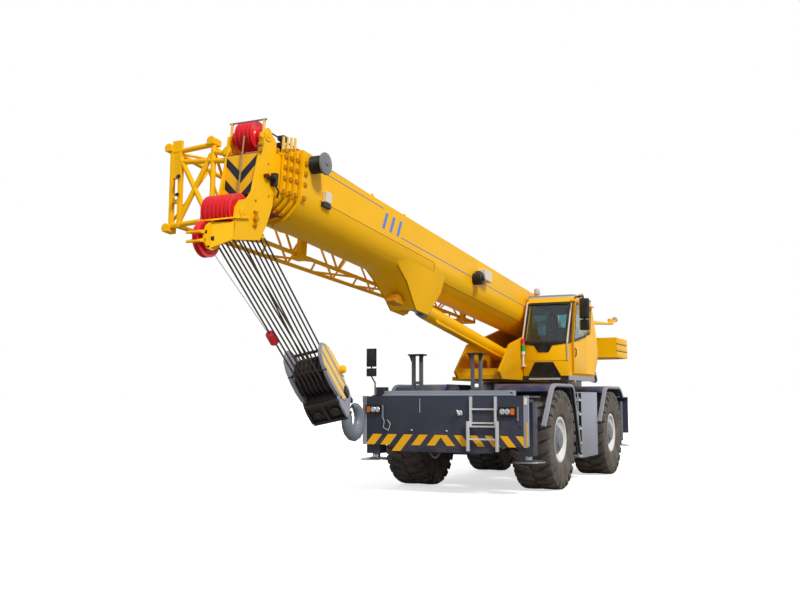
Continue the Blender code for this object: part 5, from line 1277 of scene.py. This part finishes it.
# the posts take the paler lit yellow: painted light
piece("guard_posts", posts, LIT_YELLOW, "section_5", BOOM, bevel=0.003)
guard = [pipe([(GUARD_AT[0], -CHEEK_FACE - 0.02, GUARD_AT[1]),
               (GUARD_AT[0], CHEEK_FACE + 0.02, GUARD_AT[1])], 0.012, 8)]
piece("guard_rod", guard, CAST_GREY, "section_5", BOOM)
sensor_wire = [(11.85, 0.30, 0.06), (11.80, 0.33, -0.02), (11.78, 0.30, -0.10)]
fitting = [box((11.82, 11.88), (CHEEK_FACE, 0.33), (0.04, 0.20)),
           disc("Y", (11.92, 0.13), 0.028, CHEEK_FACE, 0.36, 0.005),
           box((11.88, 11.98), (CHEEK_FACE, 0.30), (0.10, 0.14)), pipe(sensor_wire, 0.012, 8)]
piece("cheek_sensor", fitting, BLACK, "section_5", BOOM, bevel=0.006)
cap = disc("Y", (12.02, 0.125), 0.024, CHEEK_FACE, 0.32, 0.006)
piece("cheek_sensor_cap", [cap], MAROON, "section_5", BOOM)
CAMERA_AT = (11.66, 0.23)
camera_post = [pipe([(*CAMERA_AT, 0.55), (*CAMERA_AT, 0.74)], 0.015, 8),
               box((11.62, 11.70), (0.19, 0.29), (0.70, 0.76)),
               box((11.60, 11.72), (0.20, 0.26), (0.60, 0.66))]
piece("head_camera", camera_post, BLACK, "section_4", BOOM, bevel=0.006)
plate = [box((11.50, 11.86), (-0.20, 0.20), (-0.262, -0.250))]
piece("head_red_plate", plate, MAROON, "section_5", BOOM)


# Stowed jib
JIB_ROOT_X = 12.08
JIB_TIP_X = 2.90
# y and z at the root, y and z at the tip: lower inner, lower outer, upper outer, upper inner
JIB_CHORDS = [
    ((-0.50, -0.39), (-0.50, -0.20)), ((-1.08, -0.39), (-0.80, -0.20)),
    ((-1.08, 0.55), (-0.80, 0.15)), ((-0.50, 0.55), (-0.50, 0.15)),
]
JIB_BAYS = 14


def jib_point(chord, share):
    """A point of one of the jib's chords, between its root and its tip."""
    root, tip = JIB_CHORDS[chord]
    x = JIB_ROOT_X + (JIB_TIP_X - JIB_ROOT_X) * share
    return (x, root[0] + (tip[0] - root[0]) * share, root[1] + (tip[1] - root[1]) * share)


tubes = [pipe([jib_point(chord, 0.0), jib_point(chord, 1.0)], 0.031, 12) for chord in range(4)]
for face in range(4):
    for bay in range(JIB_BAYS):
        first, second = (face, (face + 1) % 4) if bay % 2 == 0 else ((face + 1) % 4, face)
        tubes.append(pipe([jib_point(first, bay / JIB_BAYS), jib_point(second, (bay + 1) / JIB_BAYS)],
                          0.018, 8))
    tubes.append(pipe([jib_point(face, 1.0), jib_point((face + 1) % 4, 1.0)], 0.026, 8))
piece("jib_lattice", tubes, YELLOW, "boom", BOOM, ["stowed_jib"])

ROOT_X = (12.05, 12.11)
# ends of the root frame's tubes; y, z
ROOT_TUBES = [
    ((-1.12, 0.56), (-0.50, 0.60)), ((-1.06, -0.42), (-0.50, -0.39)), ((-0.50, 0.62), (-0.45, -0.42)),
    ((-1.00, 0.46), (-0.50, -0.36)), ((-0.52, 0.48), (-0.96, -0.38)), ((-1.00, 0.42), (-0.50, 0.38)),
]
# two flat legs that lean, and the rungs between them with their heights
LEGS = [(-1.165, -1.115), (-1.035, -0.985)]
LEG_Z = (-0.45, 0.60)
LEG_LEAN = 0.065
RUNG_Y = (-1.14, -1.00)
RUNGS = [(-0.45, 0.05), (-0.13, 0.05), (0.20, 0.13), (0.33, 0.13), (0.46, 0.13), (0.58, 0.13)]
root = [pipe([(JIB_ROOT_X, *start), (JIB_ROOT_X, *end)], 0.034, 12) for start, end in ROOT_TUBES]
for near, far in LEGS:
    leg = [(near + LEG_LEAN, LEG_Z[0]), (far + LEG_LEAN, LEG_Z[0]), (far, LEG_Z[1]), (near, LEG_Z[1])]
    root.append(prism(leg, "X", *ROOT_X))
for z, height in RUNGS:
    shift = LEG_LEAN * (LEG_Z[1] - z) / (LEG_Z[1] - LEG_Z[0])
    near, far = RUNG_Y[0] + shift, RUNG_Y[1] + shift
    rung = [(near, z), (far, z), (far, z + height), (near, z + height)]
    root.append(prism(rung, "X", ROOT_X[0] + 0.005, ROOT_X[1] - 0.005))
# clevises that take the pins; y, z
for y, z in ((-1.185, 0.62), (-0.52, 0.64), (-1.13, -0.45)):
    for x in (12.00, 12.10):
        root.append(disc("X", (y, z), 0.06, x, x + 0.035, 0.006, 24))
    root.append(box((11.98, 12.14), (y - 0.04, y + 0.06), (z - 0.05, z + 0.03)))
piece("jib_root", root, YELLOW, "boom", BOOM, bevel=0.004)
links = [pipe([(JIB_ROOT_X, -0.50, 0.496), (JIB_ROOT_X, -0.24, 0.445)], 0.034, 12),
         pipe([(JIB_ROOT_X, -0.48, 0.377), (JIB_ROOT_X, -0.24, 0.358)], 0.034, 12),
         disc("X", (-0.26, 0.47), 0.06, 12.00, 12.035, 0.006, 24),
         disc("X", (-0.26, 0.47), 0.06, 12.10, 12.135, 0.006, 24),
         box((11.98, 12.14), (-0.30, -0.22), (0.42, 0.50))]
piece("jib_links", links, YELLOW, "section_5", BOOM, bevel=0.004)
rods = [pipe([(12.10, -1.02, z), (12.22, -0.90, z - 0.04)], 0.022, 10) for z in (0.22, -0.02)]
piece("jib_rods", rods, BLACK, "boom", BOOM)


# Luffing cylinder
GLAND_END = 4.20
gland = [(3.90, 0.104), (3.90, 0.141), (GLAND_END - 0.12, 0.136), (GLAND_END - 0.12, 0.104)]
piece("luff_gland", [turned(gland, 48, "X")], YELLOW, "luff_barrel", LUFF)
gland_ring = [(GLAND_END - 0.12, 0.104), (GLAND_END - 0.12, 0.132), (GLAND_END - 0.03, 0.131),
              (GLAND_END, 0.122), (GLAND_END, 0.104)]
piece("luff_gland_ring", [turned(gland_ring, 48, "X")], PANEL_GREY, "luff_barrel", LUFF)
THIN_PIPE = [(0.25, -0.13, -0.02), (0.25, -0.17, -0.03), (3.75, -0.17, -0.03), (3.75, -0.13, -0.02)]
WIDE_PIPE = [(0.25, 0.10, -0.10), (0.28, 0.13, -0.14), (3.72, 0.13, -0.14), (3.75, 0.10, -0.10)]
side_pipe = [pipe(THIN_PIPE, 0.02, 10), pipe(WIDE_PIPE, 0.028, 10)]
for x in (0.9, 1.8, 2.7, 3.4):
    side_pipe.append(box(around(x, 0.03), (-0.20, -0.13), (-0.06, 0.0)))
piece("luff_pipes", side_pipe, YELLOW, "luff_barrel", LUFF, bevel=0.003)


# Hook block and rope falls
BLOCK_Z = -2.85
BLOCK_HALF = 0.275
FALL_X = 0.231
FALLS = 6
FALL_PITCH = 0.064
BLOCK_TURN = math.radians(16)
BLOCK = HANG @ Matrix.Rotation(BLOCK_TURN, 4, "Z")
turned_by = Matrix.Rotation(BLOCK_TURN, 3, "Z")
falls = []
for k in range(FALLS):
    y = (k - (FALLS - 1) / 2) * FALL_PITCH
    for side in (1, -1):
        top = Vector((side * FALL_X, y, 0.0))
        foot = turned_by @ top + Vector((0.0, 0.0, BLOCK_Z))
        falls.append(pipe([top, foot], 0.0115, 8))
piece("rope_falls", falls, ROPE, "block", HANG, ["hook_block"])

# right half of a cheek's outline, from the sheaves of the block; x, z
BLOCK_LINE = [(0.10, 0.475), (0.19, 0.36), (0.245, 0.18), (0.26, 0.0), (0.245, -0.18), (0.20, -0.35),
              (0.13, -0.47), (0.05, -0.50)]
cheek = [(x, z + BLOCK_Z) for x, z in BLOCK_LINE[::-1]] + [(-x, z + BLOCK_Z) for x, z in BLOCK_LINE]
plates = [prism(cheek, "Y", *across(side, BLOCK_HALF - 0.05, BLOCK_HALF)) for side in (1, -1)]
piece("block_cheeks", plates, CHEEK_GREY, "block", BLOCK, bevel=0.008)


def cheek_reach(x):
    """Low and high edge of the cheek at a place across it."""
    low = high = 0.0
    for (x1, z1), (x2, z2) in zip(BLOCK_LINE, BLOCK_LINE[1:]):
        if min(x1, x2) <= abs(x) <= max(x1, x2):
            z = z1 + (z2 - z1) * (abs(x) - x1) / (x2 - x1)
            low, high = min(low, z), max(high, z)
    return (low, high) if abs(x) >= 0.10 else (-0.48, 0.475)


BLOCK_BARS = [(-0.245, -0.135), (-0.085, 0.025), (0.075, 0.185)]
BAR_MARGIN = 0.02
stripes = []
for start, end in BLOCK_BARS:
    for side in (1, -1):
        (low_a, high_a), (low_b, high_b) = cheek_reach(start), cheek_reach(end)
        foot, top = BLOCK_Z + BAR_MARGIN, BLOCK_Z - BAR_MARGIN
        outline = [(start, foot + low_a), (end, foot + low_b), (end, top + high_b), (start, top + high_a)]
        stripes.append(prism(outline, "Y", *across(side, BLOCK_HALF, BLOCK_HALF + 0.003)))
# the hook block's yellow stripes take the paler lit yellow: painted light on real stripes
piece("block_stripes", stripes, LIT_YELLOW, "block", BLOCK)
SHEAVE_AT = (0.0, 0.0, BLOCK_Z)
CORE_RADIUS = 0.235
RIDGE_RADIUS = 0.262
TIE_X = 0.20
TIE_Z = (-0.30, 0.26)
core = [turned([(-0.25, 0.03), (-0.25, CORE_RADIUS), (0.25, CORE_RADIUS), (0.25, 0.03)], 48, "Y", SHEAVE_AT)]
for k in range(FALLS):
    y = (k - (FALLS - 1) / 2) * FALL_PITCH
    ridge = [(y - 0.016, 0.2), (y - 0.012, RIDGE_RADIUS), (y + 0.012, RIDGE_RADIUS), (y + 0.016, 0.2)]
    core.append(turned(ridge, 48, "Y", SHEAVE_AT))
for side in (1, -1):
    for rise in TIE_Z:
        z = BLOCK_Z + rise
        core.append(pipe([(side * TIE_X, -BLOCK_HALF, z), (side * TIE_X, BLOCK_HALF, z)], 0.022, 10))
piece("block_sheaves", core, BLACK, "block", BLOCK)
housing_line = rounded([(-0.16, -3.10), (0.10, -3.02), (0.27, -3.10), (0.31, -3.24), (0.31, -3.46),
                        (0.20, -3.50), (-0.12, -3.50), (-0.20, -3.38)], 0.03)
housing = [prism(housing_line, "Y", -0.265, -0.235), prism(inset(housing_line, 0.045), "Y", -0.24, 0.24)]
# ledges, a post and the hook's trunnion; x, y, z
HOUSING_BOXES = [
    ((0.24, 0.305), (-0.25, 0.25), (-3.49, -3.445)), ((0.24, 0.305), (-0.25, 0.25), (-3.16, -3.11)),
    ((0.24, 0.30), (-0.02, 0.02), (-3.46, -3.14)), ((0.00, 0.06), (-0.30, -0.24), (-3.56, -3.46)),
    ((-0.10, -0.04), (-0.28, 0.28), (-3.54, -3.48)),
]
housing += [box(*spans) for spans in HOUSING_BOXES]
housing.append(disc("X", (0.13, -3.31), 0.075, 0.24, 0.31, 0.012))
housing.append(disc("X", (-0.13, -3.31), 0.06, 0.24, 0.30, 0.012))
piece("block_housing", housing, BLOCK_BROWN, "block", BLOCK, bevel=0.006)
piece("block_plate", [prism(housing_line, "Y", 0.235, 0.265)], CHEEK_GREY, "block", BLOCK, bevel=0.006)
knob = [disc("Y", (-0.20, -3.02), 0.055, BLOCK_HALF, BLOCK_HALF + 0.08, 0.015)]
piece("block_knob", knob, YELLOW, "block", BLOCK)
latch = [box((-0.06, 0.06), (BLOCK_HALF, BLOCK_HALF + 0.03), (-3.34, -3.20))]
piece("block_latch", latch, BLACK, "block", BLOCK, bevel=0.01)


# Hook, from its pivot in the block
HOOK_TILT = math.radians(18)
HOOK = HANG @ Matrix.Translation((0.0, 0.0, BLOCK_Z - 0.45)) @ Matrix.Rotation(HOOK_TILT, 4, "Y")
BOWL_Z = -0.82
# angle round the bowl from its +X side, radius of its middle line, half height and half width there
BOWL = [
    (86, 0.206, 0.080, 0.078), (62, 0.202, 0.084, 0.079), (40, 0.198, 0.092, 0.080),
    (18, 0.196, 0.101, 0.080), (-6, 0.196, 0.110, 0.080), (-30, 0.197, 0.117, 0.078),
    (-55, 0.198, 0.121, 0.076), (-80, 0.198, 0.123, 0.073), (-105, 0.197, 0.120, 0.070),
    (-130, 0.196, 0.110, 0.067), (-155, 0.195, 0.095, 0.063), (-178, 0.199, 0.074, 0.056),
    (-196, 0.207, 0.052, 0.045), (-212, 0.216, 0.024, 0.026),
]
RING = [2 * math.pi * k / 24 for k in range(24)]
rings = [[(0.074 * math.cos(turn), 0.074 * math.sin(turn), z) for turn in RING]
         for z in (-0.20, -0.34, -0.46, -0.55)]
for degrees, radius, half_height, half_width in BOWL:
    angle = math.radians(degrees)
    ring = []
    for turn in RING:
        reach = radius + half_height * math.cos(turn)
        ring.append((reach * math.cos(angle), half_width * math.sin(turn), BOWL_Z + reach * math.sin(angle)))
    rings.append(ring)
shank = [disc("Z", (0.0, 0.0), 0.105, -0.25, -0.205, 0.01),
         disc("Z", (0.0, 0.0), 0.095, -0.30, -0.25, 0.008, 6)]
piece("hook_body", [loop_mesh(rings)] + shank, CAST_GREY, "load_hook", HOOK, ["hook"])
keeper = [pipe([(-0.03, 0.0, -0.58), (-0.11, 0.0, -0.64), (-0.185, 0.0, -0.715)], 0.014, 8),
          disc("Y", (-0.02, -0.58), 0.03, -0.078, 0.078, 0.006)]
piece("hook_keeper", keeper, BLACK, "load_hook", HOOK, bevel=0.003)


# Weight of the limit switch on the outermost rope, with its thin wire
WEIGHT_DROP = -1.85
WEIGHT_TALL = 0.10
turn_there = turned_by.lerp(Matrix.Identity(3), 1.0 + WEIGHT_DROP / -BLOCK_Z)
x, y, _ = turn_there @ Vector((FALL_X, -(FALLS - 1) / 2 * FALL_PITCH, 0.0))
weight = [disc("Z", (x, y), 0.062, WEIGHT_DROP - WEIGHT_TALL, WEIGHT_DROP + WEIGHT_TALL, 0.02)]
piece("limit_weight", weight, RED, "block", HANG)
wire = [(x + 0.02, y, WEIGHT_DROP + WEIGHT_TALL), (0.45, -0.10, 0.02)]
piece("limit_wire", [pipe(wire, 0.005, 6)], STEEL, "block", HANG)


# Camera, light and floor
CAMERA_PLACE = (16.38, 6.656, 1.699)
CAMERA_YAW = math.radians(-154.44)
CAMERA_PITCH = math.radians(5.98)
LENS_MM = 42.51
KEY_ENERGY = 2.5
KEY_HEADING = (-0.50, -0.80, -0.80)
SKY_STRENGTH = 0.56
FLOOR_HALF = 400.0
FLOOR_GLOW = 0.62


def stage():
    """The photograph's camera, a high soft key from the left and a pale surround."""
    camera = bpy.data.objects.new("camera", bpy.data.cameras.new("camera"))
    bpy.context.scene.collection.objects.link(camera)
    camera.data.lens = LENS_MM
    camera.data.sensor_width = 36.0
    camera.location = CAMERA_PLACE
    level = math.cos(CAMERA_PITCH)
    heading = Vector((level * math.cos(CAMERA_YAW), level * math.sin(CAMERA_YAW), math.sin(CAMERA_PITCH)))
    camera.rotation_euler = heading.to_track_quat("-Z", "Y").to_euler()
    bpy.context.scene.camera = camera

    key = bpy.data.objects.new("key", bpy.data.lights.new("key", "SUN"))
    bpy.context.scene.collection.objects.link(key)
    key.data.energy = KEY_ENERGY
    key.data.angle = math.radians(12)
    key.data.color = (1.0, 0.97, 0.92)
    key.rotation_euler = Vector(KEY_HEADING).to_track_quat("-Z", "Y").to_euler()

    world = bpy.data.worlds.new("surround")
    world.use_nodes = True
    bpy.context.scene.world = world
    nodes, links = world.node_tree.nodes, world.node_tree.links
    light = nodes["Background"]
    light.inputs["Color"].default_value = (0.92, 0.95, 1.0, 1.0)
    light.inputs["Strength"].default_value = SKY_STRENGTH
    seen = nodes.new("ShaderNodeBackground")
    seen.inputs["Color"].default_value = (1.0, 1.0, 1.0, 1.0)
    path = nodes.new("ShaderNodeLightPath")
    rays = path.outputs["Is Camera Ray"]
    for other in ("Is Glossy Ray", "Is Transmission Ray"):
        either = nodes.new("ShaderNodeMath")
        either.operation = "MAXIMUM"
        links.new(rays, either.inputs[0])
        links.new(path.outputs[other], either.inputs[1])
        rays = either.outputs["Value"]
    mix = nodes.new("ShaderNodeMixShader")
    links.new(rays, mix.inputs["Fac"])
    links.new(light.outputs["Background"], mix.inputs[1])
    links.new(seen.outputs["Background"], mix.inputs[2])
    links.new(mix.outputs["Shader"], nodes["World Output"].inputs["Surface"])


def floor():
    """A pale floor that looks white to the camera and keeps the crane's shadow."""
    mesh = bpy.data.meshes.new("floor")
    corners = [(x * FLOOR_HALF, y * FLOOR_HALF, 0) for x, y in ((-1, -1), (1, -1), (1, 1), (-1, 1))]
    mesh.from_pydata(corners, [], [(0, 1, 2, 3)])
    made = bpy.data.objects.new("floor", mesh)
    bpy.context.scene.collection.objects.link(made)
    made.location.z = cad_box[0][2] - 0.002
    material, shader, place = blank("pale_floor", 0.9)
    links = material.node_tree.links
    pale = mixed(material, noise(material, place, 0.4), linear(240, 240, 240), linear(234, 234, 236))
    path = add(material, "ShaderNodeLightPath")
    plain = add(material, "ShaderNodeMath", operation="MAXIMUM")
    links.new(path.outputs["Is Camera Ray"], plain.inputs[0])
    links.new(path.outputs["Is Transmission Ray"], plain.inputs[1])
    tone = mixed(material, plain.outputs["Value"], linear(150, 146, 140), pale)
    links.new(tone, shader.inputs["Base Color"])
    glow = add(material, "ShaderNodeEmission")
    share = add(material, "ShaderNodeMath", operation="MULTIPLY")
    links.new(path.outputs["Is Camera Ray"], share.inputs[0])
    share.inputs[1].default_value = FLOOR_GLOW
    links.new(share.outputs["Value"], glow.inputs["Strength"])
    both = add(material, "ShaderNodeAddShader")
    links.new(shader.outputs["BSDF"], both.inputs[0])
    links.new(glow.outputs["Emission"], both.inputs[1])
    links.new(both.outputs["Shader"], material.node_tree.nodes["Material Output"].inputs["Surface"])
    mesh.materials.append(material)


stage()
floor()
